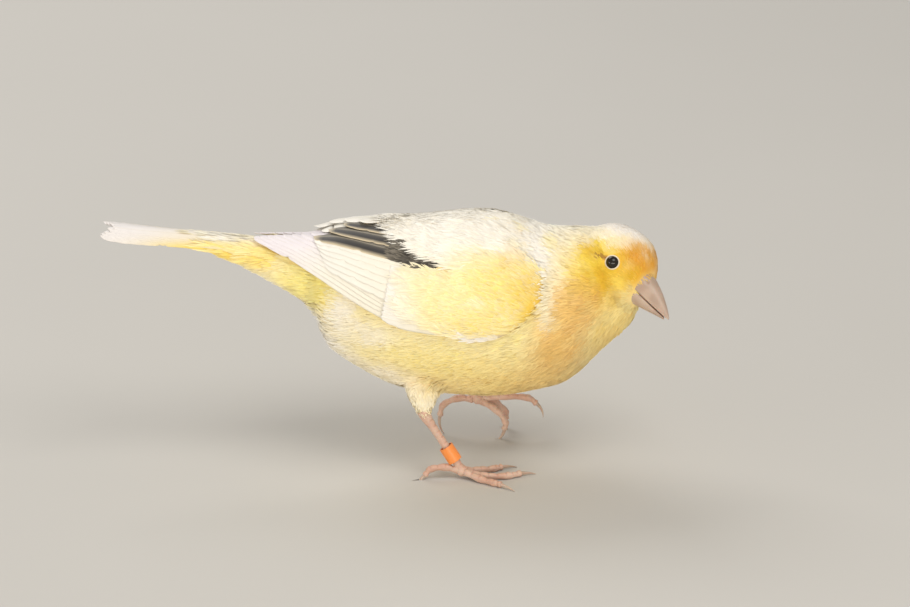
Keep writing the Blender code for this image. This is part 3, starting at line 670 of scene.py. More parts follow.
def unwrap(points):
    """Places of the skin on a flat square: along the bird's middle line, and round it from the underside."""
    line = [(-42, 0, 49.8), (-30, 0, 46.5), (-14, 0, 41), (0, 0, 37.2), (20, 0, 35.5), (33, 0, 35.8),
            (42, 0, 38.8), tuple(HEAD_CENTRE), tuple(head_point(10.0, 0, -1.0))]
    line = np.array(line, dtype=float)
    lefts = np.array([(0, 1, 0)] * 7 + [tuple(HEAD_LEFT)] * 2, dtype=float)
    best = np.full(len(points), 1e9)
    result = np.zeros((len(points), 2))
    before = 0.0
    for k in range(len(line) - 1):
        span = line[k + 1] - line[k]
        length = np.linalg.norm(span)
        t = (points - line[k]) @ span / length**2
        held = np.clip(t, 0.0 if k else -9.0, 1.0 if k < len(line) - 2 else 9.0)
        offset = points - line[k] - held[:, None] * span
        distance = np.linalg.norm(offset, axis=1)
        part = np.clip(held, 0, 1)[:, None]
        left = lefts[k] * (1 - part) + lefts[k + 1] * part
        up = np.cross(span / length, left)
        angle = np.arctan2(np.sum(offset * up, axis=1), np.sum(offset * left, axis=1))
        nearer = distance < best
        best = np.where(nearer, distance, best)
        result[nearer, 0] = (before + held * length)[nearer]
        result[nearer, 1] = ((angle / (2 * pi) + 0.25) % 1.0)[nearer]
        before += length
    result[:, 0] = np.clip(0.03 + 0.9 * (result[:, 0] + 2) / (before + 4), 0.01, 0.94)
    result[:, 1] = 0.02 + 0.96 * result[:, 1]
    return result


# Skin

def section(centre, left, up, half_width, rise, drop, turn):
    """A point of an oval with its own rise above and drop below the centre."""
    height = sin(turn) * (rise if sin(turn) > 0 else drop)
    return centre + left * (cos(turn) * half_width) + up * height


def torso_place(u, v):
    x = TORSO_STATIONS[0][0] + (TORSO_STATIONS[-1][0] - TORSO_STATIONS[0][0]) * v
    middle, half_width, rise, drop = interpolate(TORSO_STATIONS, x)
    return section(Vector((x, 0, middle)), Vector((0, 1, 0)), Vector((0, 0, 1)), half_width, rise, drop,
                   2 * pi * (u % 1.0))


def neck_place(u, v):
    x = NECK_STATIONS[0][0] + (NECK_STATIONS[-1][0] - NECK_STATIONS[0][0]) * v
    y, middle, half_width, rise, drop = interpolate(NECK_STATIONS, x)
    return section(Vector((x, y, middle)), Vector((0, 1, 0)), Vector((0, 0, 1)), half_width, rise, drop,
                   2 * pi * (u % 1.0))


def head_place(u, v):
    ahead = HEAD_STATIONS[0][0] + (HEAD_STATIONS[-1][0] - HEAD_STATIONS[0][0]) * v
    middle, half_width, rise, drop = interpolate(HEAD_STATIONS, ahead)
    return section(head_point(ahead, 0, middle), HEAD_LEFT, HEAD_UP, half_width, rise, drop,
                   2 * pi * (u % 1.0))


def tail_base_place(u, v):
    x = TAIL_BASE_STATIONS[0][0] + (TAIL_BASE_STATIONS[-1][0] - TAIL_BASE_STATIONS[0][0]) * v
    middle, half_width, half_height = interpolate(TAIL_BASE_STATIONS, x)
    return section(Vector((x, 0, middle)), Vector((0, 1, 0)), Vector((0, 0, 1)), half_width, half_height,
                   half_height, 2 * pi * (u % 1.0))


def thigh_place(leg):
    """The place function of a feathered upper leg, an egg that tapers to the ankle."""
    hip, ankle = leg["hip"], leg["ankle"]
    axis = (ankle - hip).normalized()
    left = axis.cross(Vector((0, 1, 0))).normalized()
    up = axis.cross(left)
    stations = ((-0.6, 2.6), (0.0, 3.6), (0.3, 3.5), (0.6, 2.8), (0.82, 2.0), (1.0, 1.3))

    def place(u, v):
        t = stations[0][0] + (stations[-1][0] - stations[0][0]) * v
        radius = interpolate(stations, t)[0]
        centre = hip + axis * ((ankle - hip).length * t)
        return section(centre, left, up, radius * 1.15, radius, radius, 2 * pi * (u % 1.0))

    return place


def add_colours(mesh, name, colours):
    """A colour for each point of the mesh."""
    layer = mesh.color_attributes.new(name, "FLOAT_COLOR", "POINT")
    values = np.ones((len(colours), 4), dtype=np.float32)
    values[:, :3] = np.clip(colours, 0.0, 1.0)
    layer.data.foreach_set("color", values.ravel())


def mesh_points(mesh):
    """The mesh's points in millimetres, and its normals there."""
    points = np.empty(len(mesh.vertices) * 3, dtype=np.float32)
    mesh.vertices.foreach_get("co", points)
    normals = np.empty(len(mesh.vertices) * 3, dtype=np.float32)
    mesh.vertex_normals.foreach_get("vector", normals)
    return points.reshape(-1, 3).astype(float) / MM, normals.reshape(-1, 3).astype(float)


def make_skin(material):
    """Head, neck, body, tail root and upper legs as one surface, inside the coat by the coat's depth."""
    bm = new_sheet()
    places = [torso_place, neck_place, head_place, tail_base_place]
    places += [thigh_place(leg) for leg in LEGS.values()]
    for place in places:
        add_tube(bm, 72, 44, place)
    skin = make_object("skin", bm, material)
    remesh = skin.modifiers.new("One surface", "REMESH")
    remesh.mode = "VOXEL"
    remesh.voxel_size = VOXEL * MM
    smooth = skin.modifiers.new("Soft", "SMOOTH")
    smooth.factor = 0.5
    smooth.iterations = 18
    bpy.context.view_layer.update()
    shaped = bpy.data.meshes.new_from_object(skin.evaluated_get(bpy.context.evaluated_depsgraph_get()))
    skin.modifiers.clear()
    skin.data = shaped
    points, normals = mesh_points(shaped)
    depth = COAT_DEPTH + (FACE_COAT_DEPTH - COAT_DEPTH) * on_head(points)
    points -= normals * depth[:, None]
    shaped.vertices.foreach_set("co", (points * MM).astype(np.float32).ravel())
    shaped.shade_smooth()
    shaped.update()
    add_colours(shaped, "plumage", markings(points)[0])
    return belong(skin, "plumage", "torso", "neck", "head", "thigh_right", "thigh_left")


# Coat

def scatter(mesh, spacing, keep, seed):
    """Even random points on the mesh, with their normals; spacing and keep are functions of points."""
    rng = np.random.default_rng(seed)
    mesh.calc_loop_triangles()
    corners = np.empty(len(mesh.loop_triangles) * 3, dtype=np.int32)
    mesh.loop_triangles.foreach_get("vertices", corners)
    corners = corners.reshape(-1, 3)
    points, normals = mesh_points(mesh)
    a, b, c = points[corners[:, 0]], points[corners[:, 1]], points[corners[:, 2]]
    area = np.linalg.norm(np.cross(b - a, c - a), axis=1) / 2
    weight = area / spacing((a + b + c) / 3) ** 2
    count = int(weight.sum() * 5)
    chosen = rng.choice(len(weight), size=count, p=weight / weight.sum())
    s = np.sqrt(rng.random(count))
    t = rng.random(count)
    parts = np.stack((1 - s, s * (1 - t), s * t), axis=1)
    spots = np.einsum("nk,nkd->nd", parts, points[corners[chosen]])
    leans = np.einsum("nk,nkd->nd", parts, normals[corners[chosen]])
    kept = keep(spots)
    spots, leans = spots[kept], leans[kept]
    apart = spacing(spots)
    cells = {}
    order = []
    size = float(apart.max())
    keys = np.floor(spots / size).astype(int)
    for i in range(len(spots)):
        kx, ky, kz = keys[i]
        spot = spots[i]
        limit = apart[i] ** 2
        free = True
        for dx in (-1, 0, 1):
            for dy in (-1, 0, 1):
                for dz in (-1, 0, 1):
                    for other in cells.get((kx + dx, ky + dy, kz + dz), ()):
                        if (spot[0] - other[0])**2 + (spot[1] - other[1])**2 + (spot[2] - other[2])**2 < limit:
                            free = False
                            break
                    if not free:
                        break
                if not free:
                    break
            if not free:
                break
        if free:
            cells.setdefault((kx, ky, kz), []).append(tuple(spot))
            order.append(i)
    leans = leans[order]
    return spots[order], leans / np.linalg.norm(leans, axis=1)[:, None]


def unit(vectors):
    return vectors / np.maximum(np.linalg.norm(vectors, axis=-1, keepdims=True), 1e-9)


BLADE_STEPS = (0.0, 0.34, 0.76, 1.0)
BLADE_FACES = ((0, 2, 1), (0, 3, 2), (0, 1, 3), (1, 2, 5), (1, 5, 4), (2, 3, 6), (2, 6, 5),
               (3, 1, 4), (3, 4, 6), (7, 4, 5), (7, 5, 6), (7, 6, 4))
BLADE_UNDERSIDE = [2, 7, 8, 11]


def surface_tree(pieces):
    """A search tree over the outer surface of some pieces, in millimetres."""
    bm = bmesh.new()
    bpy.context.view_layer.update()
    depsgraph = bpy.context.evaluated_depsgraph_get()
    for piece in pieces:
        bm.from_mesh(piece.evaluated_get(depsgraph).data)
    bmesh.ops.transform(bm, matrix=Matrix.Scale(1 / MM, 4), verts=bm.verts)
    tree = BVHTree.FromBMesh(bm)
    bm.free()
    return tree


def follow(tree, tufts):
    """Height of the surface above each tuft's root plane, half way along the tuft and at its end."""
    heights = np.zeros((len(tufts["root"]), 2))
    for i, (root, normal, flow, length) in enumerate(
            zip(tufts["root"], tufts["normal"], tufts["flow"], tufts["length"])):
        for k, part in enumerate((0.5, 1.0)):
            over = Vector(root + flow * length * part + normal * RAY_HEIGHT)
            hit = tree.ray_cast(over, Vector(-normal), RAY_HEIGHT * 2)
            reach = length * part
            fall = -reach**2 / 30.0 if hit[0] is None else RAY_HEIGHT - hit[3]
            heights[i, k] = min(max(fall, -0.4 * reach), 0.45 * reach)
    tufts["heights"] = heights
    return tufts


def coat_piece(name, tufts, blades, material, seed):
    """One mesh of many tufts. A tuft is a fan of blades, each a thin three-sided spindle that bends over."""
    rng = np.random.default_rng(seed)
    count = len(tufts["root"])
    fan = np.linspace(-1.0, 1.0, blades)[None, :]
    size = (count, blades)
    angle = tufts["fan"][:, None] * (fan + rng.normal(0, 0.2, size))
    flow = tufts["flow"][:, None, :]
    normal = tufts["normal"][:, None, :]
    across = np.cross(tufts["flow"], tufts["normal"])[:, None, :]
    turn_cos = np.cos(angle)[..., None]
    turn_sin = np.sin(angle)[..., None]
    heading = flow * turn_cos + across * turn_sin
    aside = across * turn_cos - flow * turn_sin
    length = tufts["length"][:, None] * (1 - 0.22 * fan**2) * rng.uniform(0.76, 1.1, size)
    lift = tufts["lift"][:, None] * rng.uniform(0.8, 1.2, size)
    clear = tufts["clear"][:, None] * rng.uniform(0.5, 1.1, size)
    half_way, full_way = tufts["heights"][:, :1], tufts["heights"][:, 1:]
    width = tufts["width"][:, None] * rng.uniform(0.8, 1.15, size)
    base = tufts["root"][:, None, :] + across * (fan * tufts["base"][:, None])[..., None]
    base = base + flow * rng.uniform(-0.35, 0.35, size)[..., None] - normal * 0.15
    roll = rng.normal(0, BLADE_ROLL, size)[..., None]
    flat = aside * np.cos(roll) + normal * np.sin(roll)
    ridge = normal * np.cos(roll) - aside * np.sin(roll)
    centres = []
    for t in BLADE_STEPS:
        ground = np.where(t < 0.5, half_way * t * 2, half_way + (full_way - half_way) * (t * 2 - 1))
        height = ground + clear * (1 - (1 - t) ** 3) * (1 - 0.5 * t * t) + length * lift * t
        centres.append(base + heading * (length * t)[..., None] + normal * height[..., None])
    corners = [centres[0]]
    facing = [ridge]
    for centre, share in ((centres[1], 0.9), (centres[2], 0.75)):
        half = (width * share / 2)[..., None]
        corners += [centre - flat * half, centre + ridge * (half * BLADE_RIDGE), centre + flat * half]
        facing += [ridge - flat * BLADE_ROUND, ridge, ridge + flat * BLADE_ROUND]
    corners.append(centres[3])
    facing.append(ridge)
    points = np.stack(corners, axis=2)
    facing = unit(np.stack(facing, axis=2))[:, :, np.array(BLADE_FACES)]
    facing[:, :, BLADE_UNDERSIDE] *= -1
    tone = (tufts["tone"][:, None] + rng.normal(0, 0.035, size))[..., None, None]
    share = np.array((0.0, 0.25, 0.25, 0.25, 0.8, 0.8, 0.8, 1.0))[None, None, :, None]
    colours = tufts["colour"][:, None, None, :] * (1 - share) + tufts["tip"][:, None, None, :] * share
    # Painted shade, deepest at the root of each blade.
    colours = colours * (1.0 + tone) * (ROOT_PAINTED_SHADE * (1 - share) + share)
    along = np.array((-1, -0.4, -0.4, -0.4, 0.5, 0.5, 0.5, 1))
    aslant = np.array((0, -0.2, 0, 0.2, -0.2, 0, 0.2, 0))
    patch = np.stack((fan[..., None] * 0.8 + aslant, np.broadcast_to(along, (1, blades, 8))), axis=-1)
    maps = tufts["uv"][:, None, None, :] + 0.0015 * patch
    faces = np.array(BLADE_FACES)[None] + 8 * np.arange(count * blades)[:, None, None]
    mesh = bpy.data.meshes.new(name)
    mesh.vertices.add(count * blades * 8)
    mesh.vertices.foreach_set("co", (points * MM).astype(np.float32).ravel())
    mesh.loops.add(faces.size)
    mesh.loops.foreach_set("vertex_index", faces.astype(np.int32).ravel())
    mesh.polygons.add(faces.size // 3)
    mesh.polygons.foreach_set("loop_start", np.arange(0, faces.size, 3, dtype=np.int32))
    mesh.update(calc_edges=True)
    mesh.uv_layers.new(name="OFBake").data.foreach_set(
        "uv", maps.reshape(-1, 2)[faces.ravel()].astype(np.float32).ravel())
    add_colours(mesh, "plumage", colours.reshape(-1, 3))
    mesh.materials.append(material)
    mesh.shade_smooth()
    mesh.normals_split_custom_set(facing.reshape(-1, 3).astype(np.float32))
    piece = bpy.data.objects.new(name, mesh)
    bpy.context.scene.collection.objects.link(piece)
    return belong(piece, "plumage")


def select(tufts, mask):
    return {key: values[mask] for key, values in tufts.items()}


def near_leg(points):
    """1 on the feathered upper legs, below the belly."""
    total = np.zeros(len(points))
    for leg in LEGS.values():
        hip, ankle = np.array(leg["hip"]), np.array(leg["ankle"])
        span = ankle - hip
        t = np.clip((points - hip) @ span / (span @ span), 0.0, 1.0)
        distance = np.linalg.norm(points - hip - t[:, None] * span, axis=1)
        total = np.maximum(total, (1 - step(distance, 3.6, 4.6)) * step(t, 0.05, 0.3))
    return total


def feather_spacing(points):
    head = on_head(points)
    return 0.9 - 0.36 * head - 0.2 * near_leg(points) * (1 - head)


def wing_turn(points):
    """The turn in degrees round the wing cradle at many points."""
    middle = station_values(CRADLE_STATIONS, points[:, 0], 1)
    half_width = station_values(CRADLE_STATIONS, points[:, 0], 2)
    half_height = station_values(CRADLE_STATIONS, points[:, 0], 3)
    return np.degrees(np.arctan2((points[:, 2] - middle) / half_height, np.abs(points[:, 1]) / half_width))


def covered(tree, points, normals):
    """True where something of the tree lies over the skin."""
    result = np.zeros(len(points), dtype=bool)
    for i, (point, normal) in enumerate(zip(points, normals)):
        hit = tree.ray_cast(Vector(point + normal * 0.3), Vector(normal), 4.0)
        result[i] = hit[0] is not None
    return result


def grows_feathers(points):
    """False in the eyes and at the bill's root."""
    kept = points[:, 0] > -36.0 - 2.5 * waves(points, 4.0, 14)
    for side in (RIGHT, LEFT):
        centre, outward = eye_place(side)
        offset = points - np.array(centre)
        ahead = offset @ np.array(outward)
        distance = np.linalg.norm(offset - ahead[:, None] * np.array(outward), axis=1)
        kept &= (distance > EYE_RADIUS + 0.5) | (ahead < 0)
    head = in_head(points)
    kept &= ~((head[:, 0] > BILL_BASE - 0.2) & (np.abs(head[:, 1]) < 2.9))
    return kept


def body_tufts(skin, tree, wings, seed):
    """Roots, lie, length and colour of the body's small feathers."""
    roots, normals = scatter(skin.data, feather_spacing, grows_feathers, seed)
    bare = covered(wings, roots, normals)
    roots, normals = roots[~bare], normals[~bare]
    rng = np.random.default_rng(seed + 1)
    count = len(roots)
    head = on_head(roots)
    leg = near_leg(roots)
    source = np.array(head_point(BILL_BASE, 0, (BILL_ROOT_TOP + BILL_ROOT_BOTTOM) / 2))
    flow = unit(roots - source)
    for one in LEGS.values():
        down = np.array((one["ankle"] - one["hip"]).normalized())
        close = leg * (np.sign(roots[:, 1]) == np.sign(one["ankle"].y))
        flow = flow * (1 - close[:, None]) + down * close[:, None]
    room = np.full(count, 9.0)
    for side in (RIGHT, LEFT):
        centre, outward = eye_place(side)
        offset = roots - np.array(centre)
        outside = offset @ np.array(outward)
        radial = offset - outside[:, None] * np.array(outward)
        distance = np.linalg.norm(radial, axis=1)
        radial = unit(radial)
        near = (1 - step(distance, 2.2, 5.0)) * (outside > -1)
        towards = np.minimum(np.sum(flow * radial, axis=1), 0.0) * near
        flow = unit(flow - radial * (towards * 1.15)[:, None])
        inward = np.sum(flow * radial, axis=1) < -0.1
        room = np.where((outside > -1) & inward & (distance < 5), distance - EYE_RADIUS - 0.2, room)
    flow = flow - normals * np.sum(flow * normals, axis=1)[:, None]
    flow = unit(flow)
    across = np.cross(flow, normals)
    tail = 1 - step(roots[:, 0], -32, -14)
    sway = (0.10 * waves(roots, 6.0, 11) + rng.normal(0, 0.05, count)) * (1 - 0.7 * tail)
    flow = unit(flow + across * sway[:, None])
    vent = blob(roots * np.array((1, 0, 1)), (-12, 0, 29), (9, 1, 9))
    length = 3.4 - 1.75 * head - 0.9 * leg + 2.0 * vent + 2.6 * tail
    length *= rng.uniform(0.88 - 0.25 * tail, 1.12, count)
    length = np.minimum(length, np.maximum(room, 0.5))
    lift = 0.02 + 0.13 * vent * rng.uniform(0.4, 1.2, count) + 0.012 * waves(roots, 5.0, 12)
    crest = step(normals[:, 2], 0.75, 0.95) * (1 - step(roots[:, 0], 30, 35))
    nape = blob(roots, (42.5, 0, 52), (5.5, 9, 4.5))
    clear = 0.5 - 0.2 * head - 0.28 * tail - 0.2 * crest + 0.25 * nape
    colour, tip = markings(roots)
    uv = unwrap(roots)
    strip = leg > 0.5
    uv[strip, 0] = 0.955 + 0.0035 * (roots[strip, 2] - 12)
    uv[strip, 1] = np.where(roots[strip, 1] < 0, 0.25, 0.75) + 0.02 * (roots[strip, 0] - 9)
    return follow(tree, {
        "root": roots, "normal": normals, "flow": flow, "length": length,
        "lift": np.maximum(lift, 0.0), "clear": np.maximum(clear, 0.15),
        "fan": 0.26 + 0.1 * rng.random(count) + 0.1 * vent - 0.18 * tail,
        "width": 0.36 - 0.12 * head, "base": 0.45 - 0.2 * head,
        "tone": 0.03 * waves(roots, 2.2, 13) + rng.normal(0, 0.015, count),
        "colour": colour, "tip": tip, "uv": uv,
    })


def make_coat(skin, tree, wings, material):
    """The body's small feathers, in pieces by part of the body."""
    tufts = body_tufts(skin, tree, wings, SEED)
    roots = tufts["root"]
    head = in_head(roots)
    x, z = roots[:, 0], roots[:, 2]
    middle = station_values(TORSO_STATIONS, x, 1)
    above = z > middle + 6
    is_head = on_head(roots) > 0.3
    parts = {
        "coat_crown": is_head & (head[:, 2] > 1.0),
        "coat_face": is_head & (head[:, 2] <= 1.0),
        "coat_neck": ~is_head & (x > 33),
        "coat_mantle": ~is_head & (x <= 33) & (x > -14) & above,
        "coat_breast": ~is_head & (x <= 33) & (x > 14) & ~above,
        "coat_belly": ~is_head & (x <= 14) & (x > -1) & ~above,
        "coat_vent": ~is_head & (x <= -1) & (x > -14) & ~above,
        "coat_rump": x <= -14,
    }
    for number, (name, mask) in enumerate(parts.items()):
        blades = 9 if is_head[mask].any() else 11
        piece = coat_piece(name, select(tufts, mask), blades, material, SEED + 30 + number)
        print(name, int(mask.sum()), "tufts", len(piece.data.polygons), "triangles")


def make_bill_fringe(material):
    """Short feathers that reach forward over the root of the bill."""
    rng = np.random.default_rng(SEED + 9)
    count = 240
    angle = np.linspace(0, 2 * pi, count, endpoint=False)
    turn = np.array([HEAD_FORWARD, HEAD_LEFT, HEAD_UP])
    middle = (BILL_ROOT_TOP + BILL_ROOT_BOTTOM) / 2
    half_height = (BILL_ROOT_TOP - BILL_ROOT_BOTTOM) / 2
    outward = np.stack((0 * angle, np.cos(angle), np.sin(angle)), axis=1)
    ahead = BILL_BASE - 0.5 + rng.uniform(-0.3, 0.5, count)
    place = np.stack((ahead, (BILL_HALF_WIDTH + 0.1) * np.cos(angle),
                      middle + (half_height + 0.1) * np.sin(angle)), axis=1)
    roots = np.array(HEAD_CENTRE) + place @ turn
    normals = unit(outward + (0.45, 0, 0)) @ turn
    flows = unit((1.0, 0.0, 0.0) - outward * 0.35) @ turn
    flows = unit(flows - normals * np.sum(flows * normals, axis=1)[:, None])
    colour, tip = markings(roots)
    tufts = {
        "root": roots, "normal": normals, "flow": flows,
        "length": rng.uniform(1.0, 1.9, count), "lift": np.full(count, 0.03), "clear": np.full(count, 0.14),
        "fan": np.full(count, 0.25), "width": np.full(count, 0.2), "base": np.full(count, 0.25),
        "tone": rng.normal(0, 0.02, count), "colour": colour, "tip": tip, "uv": unwrap(roots),
        "heights": np.zeros((count, 2)),
    }
    coat_piece("coat_bill_root", tufts, 7, material, SEED + 10)


# Wings

def wing_markings(x, turn):
    """Colours of the small feathers on the folded wing, at roots and tips; turn is in degrees."""
    places = np.stack((x, turn * 0.3, np.zeros_like(x)), axis=-1)
    uneven = waves(places, 8.0, 21)
    fine = waves(places, 3.0, 22)
    patches = (
        (LEMON, 0.3, (15, 4), (9, 6)),
        (LEMON, 0.45, (22, 9), (7, 5)),
        (YELLOW, 0.75, (26, 7), (7, 7)),
        (YELLOW, 0.6, (22, 1), (9, 3)),
        (GOLDEN_YELLOW, 0.9, (31.5, 6), (5.0, 7)),
        (GOLD, 0.4, (32.5, 5.5), (4.0, 6)),
        (GOLD, 0.4, (28, 12), (4, 2.5)),
        (CREAM, 0.4, (21, 4.5), (2.2, 1.4)),
        (WHITE, 1.0, (19, -2.2), (10, 2.0)),
    )
    colour = np.broadcast_to(PALE_YELLOW, places.shape).copy()
    for other, amount, centre, radii in patches:
        amount = amount * blob(places, (*centre, 0), (*radii, 1)) * (1 + 0.25 * fine)
        colour = blend(colour, other, amount)
    colour = blend(colour, WHITE, 0.8 * step(turn + 4 * uneven, 40, 54))
    colour = blend(colour, BUFF, 0.35 * blob(places, (30, 15.5, 0), (3.5, 3.0, 1)))
    colour = blend(colour, CREAM, 0.75 * (1 - step(x + 2 * uneven, 5, 13)))
    colour = blend(colour, WHITE, 0.6 * (1 - step(x + 2 * uneven, 3, 9)))
    return colour, blend(colour, WHITE, 0.3 + 0.12 * fine)


def covert_spots(side, rng):
    """Places (x, turn, kind) of the coverts (0), the shoulder's feathers (1) and the dark ones below them (2), which
    are dark feathers with painted shadow under the shoulder's feathers.
    """
    spots = []
    for x in np.arange(3.0, 34.5, COVERT_PITCH):
        half_height = station_values(CRADLE_STATIONS, x, 3)
        low = station_values(WING_LOW_EDGE, x, 1) + 1.5
        high = station_values(WING_HIGH_EDGE, x, 1) + 6
        if x < 16:
            high = station_values(WEDGE_EDGE, x - 4.8, 1) - 6.5
        pitch_turn = np.degrees(COVERT_PITCH / half_height)
        for turn in np.arange(low, high, pitch_turn):
            spot = (x + rng.uniform(-0.45, 0.45), turn + rng.uniform(-0.45, 0.45) * pitch_turn, 0)
            if x > 5.0 + 1.2 * sin(turn * 0.4) + rng.uniform(-0.8, 0.8):
                spots.append(spot)
    for x in np.arange(3.4, 27.0, 0.8):
        for turn in np.arange(station_values(FRINGE_EDGE, x, 1), 94, 3.4):
            spots.append((x + rng.uniform(-0.4, 0.4), turn + rng.uniform(-1.6, 1.6), 1))
    # Dark tufts under the right shoulder's feathers: partly the dark feathers there, partly painted shadow of the
    # shoulder's feathers over them.
    if side == RIGHT:
        for x in np.arange(4.0, 12.6, 0.55):
            for turn in np.arange(station_values(WEDGE_EDGE, x, 1) + 1.6, station_values(FRINGE_EDGE, x, 1) + 0.5, 1.5):
                spots.append((x + rng.uniform(-0.3, 0.3), turn + rng.uniform(-1.0, 1.0), 2))
    return np.array(spots)


def make_coverts(side, name, tree, material):
    """The small soft feathers over the wing's arm, and the longer fringed ones of the shoulder."""
    rng = np.random.default_rng(SEED + 7)
    spots = covert_spots(side, rng)
    x, turn, kind = spots[:, 0], spots[:, 1], spots[:, 2]
    count = len(spots)
    shoulder = kind == 1
    dark = kind == 2
    roots, flows, normals = [], [], []
    for one_x, one_turn in spots[:, :2]:
        centre, along, across, normal = cradle_frame(one_x, radians(one_turn), 0.0, side, -1.0, radians(0.75))
        hit = tree.ray_cast(centre + normal * RAY_HEIGHT, -normal, RAY_HEIGHT * 2)
        roots.append(tuple(centre if hit[0] is None else hit[0]))
        flows.append(tuple(along))
        normals.append(tuple(normal))
    roots, flows, normals = np.array(roots), np.array(flows), np.array(normals)
    sway = 0.10 * waves(roots, 6.0, 31) + rng.normal(0, 0.05, count)
    flows = unit(flows + np.cross(flows, normals) * sway[:, None])
    colour, tip = wing_markings(x, turn)
    white = blend(colour, WHITE, 0.68 - 0.6 * step(x, 12.0, 23.0) * (1 - step(turn, 40, 56)))
    colour = np.where(shoulder[:, None], white, colour)
    tip = np.where(shoulder[:, None], blend(white, WHITE, np.full(count, 0.4)), tip)
    # The dark tufts: dark feathers and painted shadow under the shoulder's feathers.
    colour = np.where(dark[:, None], DARK, colour)
    tip = np.where(dark[:, None], blend(DARK + 0 * colour, GREY_BROWN, rng.uniform(0.1, 1.0, count)), tip)
    uv = np.stack(((x + 2) / 40, (turn + 12) / 105), axis=1)
    length = 3.6 + 1.2 * (1 - step(x, 5, 9)) + 1.6 * shoulder - 0.8 * dark
    tufts = {
        "root": roots, "normal": normals, "flow": flows, "length": length * rng.uniform(0.85, 1.15, count),
        "lift": 0.02 + 0.01 * shoulder + 0.012 * waves(roots, 5.0, 32), "clear": 0.36 - 0.1 * dark - 0.14 * step(normals[:, 2], 0.75, 0.95),
        "fan": 0.26 + 0.1 * rng.random(count) - 0.16 * dark, "width": np.full(count, 0.36), "base": np.full(count, 0.5),
        "tone": 0.03 * waves(roots, 2.2, 33) + rng.normal(0, 0.015, count),
        "colour": colour, "tip": tip, "uv": np.clip(uv, 0.01, 0.99),
    }
    piece = coat_piece(name, follow(tree, tufts), 11, material, SEED + 8)
    print(name, count, "tufts", len(piece.data.polygons), "triangles")


def feather_half_width(s, half_width, point):
    """Half width of a flight feather along its length: narrow at the root, round at the tip."""
    root = min(1.0, 0.35 + 3.2 * s)
    tip = 1.0 if s < point else sqrt(max(1 - ((s - point) / (1.0 - point)) ** 2.2, 0.0))
    return max(half_width * root * tip, 0.05)


def add_feather(bm, path, length, half_width, point, paint, rng, shaft=0.0, camber=0.16):
    """Adds one flight feather: a curved web with ragged edges each side of a shaft.

    path(s) gives the centre, the directions along and across, and the normal; paint(s, w) gives the colour
    at s along the feather and w across it, from -1 to 1.
    """
    quill = bm.verts.layers.float.get("quill") or bm.verts.layers.float.new("quill")
    web = bm.verts.layers.float.get("web") or bm.verts.layers.float.new("web")
    plumage = bm.verts.layers.float_color.get("plumage") or bm.verts.layers.float_color.new("plumage")
    columns = 10
    rows = max(24, int(length / 0.55))
    splits = [(rng.uniform(0.25, 0.97), rng.choice((-1, 1)), rng.uniform(0.10, 0.3)) for _ in range(5)]
    phase = rng.uniform(0, 6)
    made = bmesh.ops.create_grid(bm, x_segments=columns, y_segments=rows, size=0.5)["verts"]
    for vertex in made:
        w = vertex.co.x * 2
        s = vertex.co.y + 0.5
        centre, along, across, normal = path(s)
        half = feather_half_width(s, half_width, point)
        offset = half * w
        drop = camber * half * w * w
        ragged = 0.015 * sin(s * length * 2.9 + phase) * abs(w) ** 3
        for place, split_side, depth in splits:
            gap = (s - place) * length
            if split_side * w > 0 and -0.9 < gap < 0.9:
                opening = (1 - abs(gap) / 0.9) ** 2
                offset -= split_side * half * depth * opening * abs(w) ** 4
        ridge = 0.05 * exp(-(((w - shaft) * half) / 0.12) ** 2)
        vertex.co = (centre + across * offset + normal * (ridge - drop + ragged)) * MM
        vertex[quill] = s * length
        vertex[web] = offset - shaft * half
        vertex[plumage] = (*paint(s, w), 1.0)


def wing_path(side, root, tip, lifts, tilt, bow):
    """The path of a folded wing's feather. root and tip are (x, turn in degrees)."""
    span_x = tip[0] - root[0]
    span_turn = radians(tip[1] - root[1])

    def path(s):
        x = root[0] + span_x * s
        turn = radians(root[1]) + span_turn * s + radians(bow) * sin(pi * s)
        turn_rate = span_turn + radians(bow) * pi * cos(pi * s)
        lift = lifts[0] + (lifts[1] - lifts[0]) * s
        centre, along, across, normal = cradle_frame(x, turn, lift, side, span_x, turn_rate)
        leaning = (across - normal * tilt).normalized()
        rise = (normal + across * tilt).normalized()
        return centre, along, leaning, rise

    return path, abs(span_x)


def cream_feather(s, w):
    """Whitish web, warmer towards the root and inside, with a pale edge."""
    warm = 0.55 * (1 - s) + 0.15 * (1 - abs(w))
    colour = WHITE * (1 - warm * 0.5) + PALE_YELLOW * (warm * 0.5)
    return colour * (0.93 + 0.07 * abs(w)) * WEB_TONE


def rosy_feather(s, w):
    """The same, with a rosy white tip."""
    cool = min(max((s - 0.55) / 0.3, 0.0), 1.0)
    return cream_feather(s, w) * (1 - cool) + ROSY_WHITE * (WEB_TONE * cool)


def dark_feather(s, w):
    """Blackish web with a grey-brown middle and a buff edge."""
    edge = min(max((abs(w) - 0.62) / 0.3, 0.0), 1.0)
    tip = min(max((s - 0.93) / 0.06, 0.0), 1.0)
    middle = exp(-((w - 0.25) / 0.35) ** 2) * 0.75
    colour = DARK * (1 - middle) + GREY_BROWN * middle
    pale = max(edge * edge, tip * 0.8)
    return colour * (1 - pale) + PALE_BUFF * pale


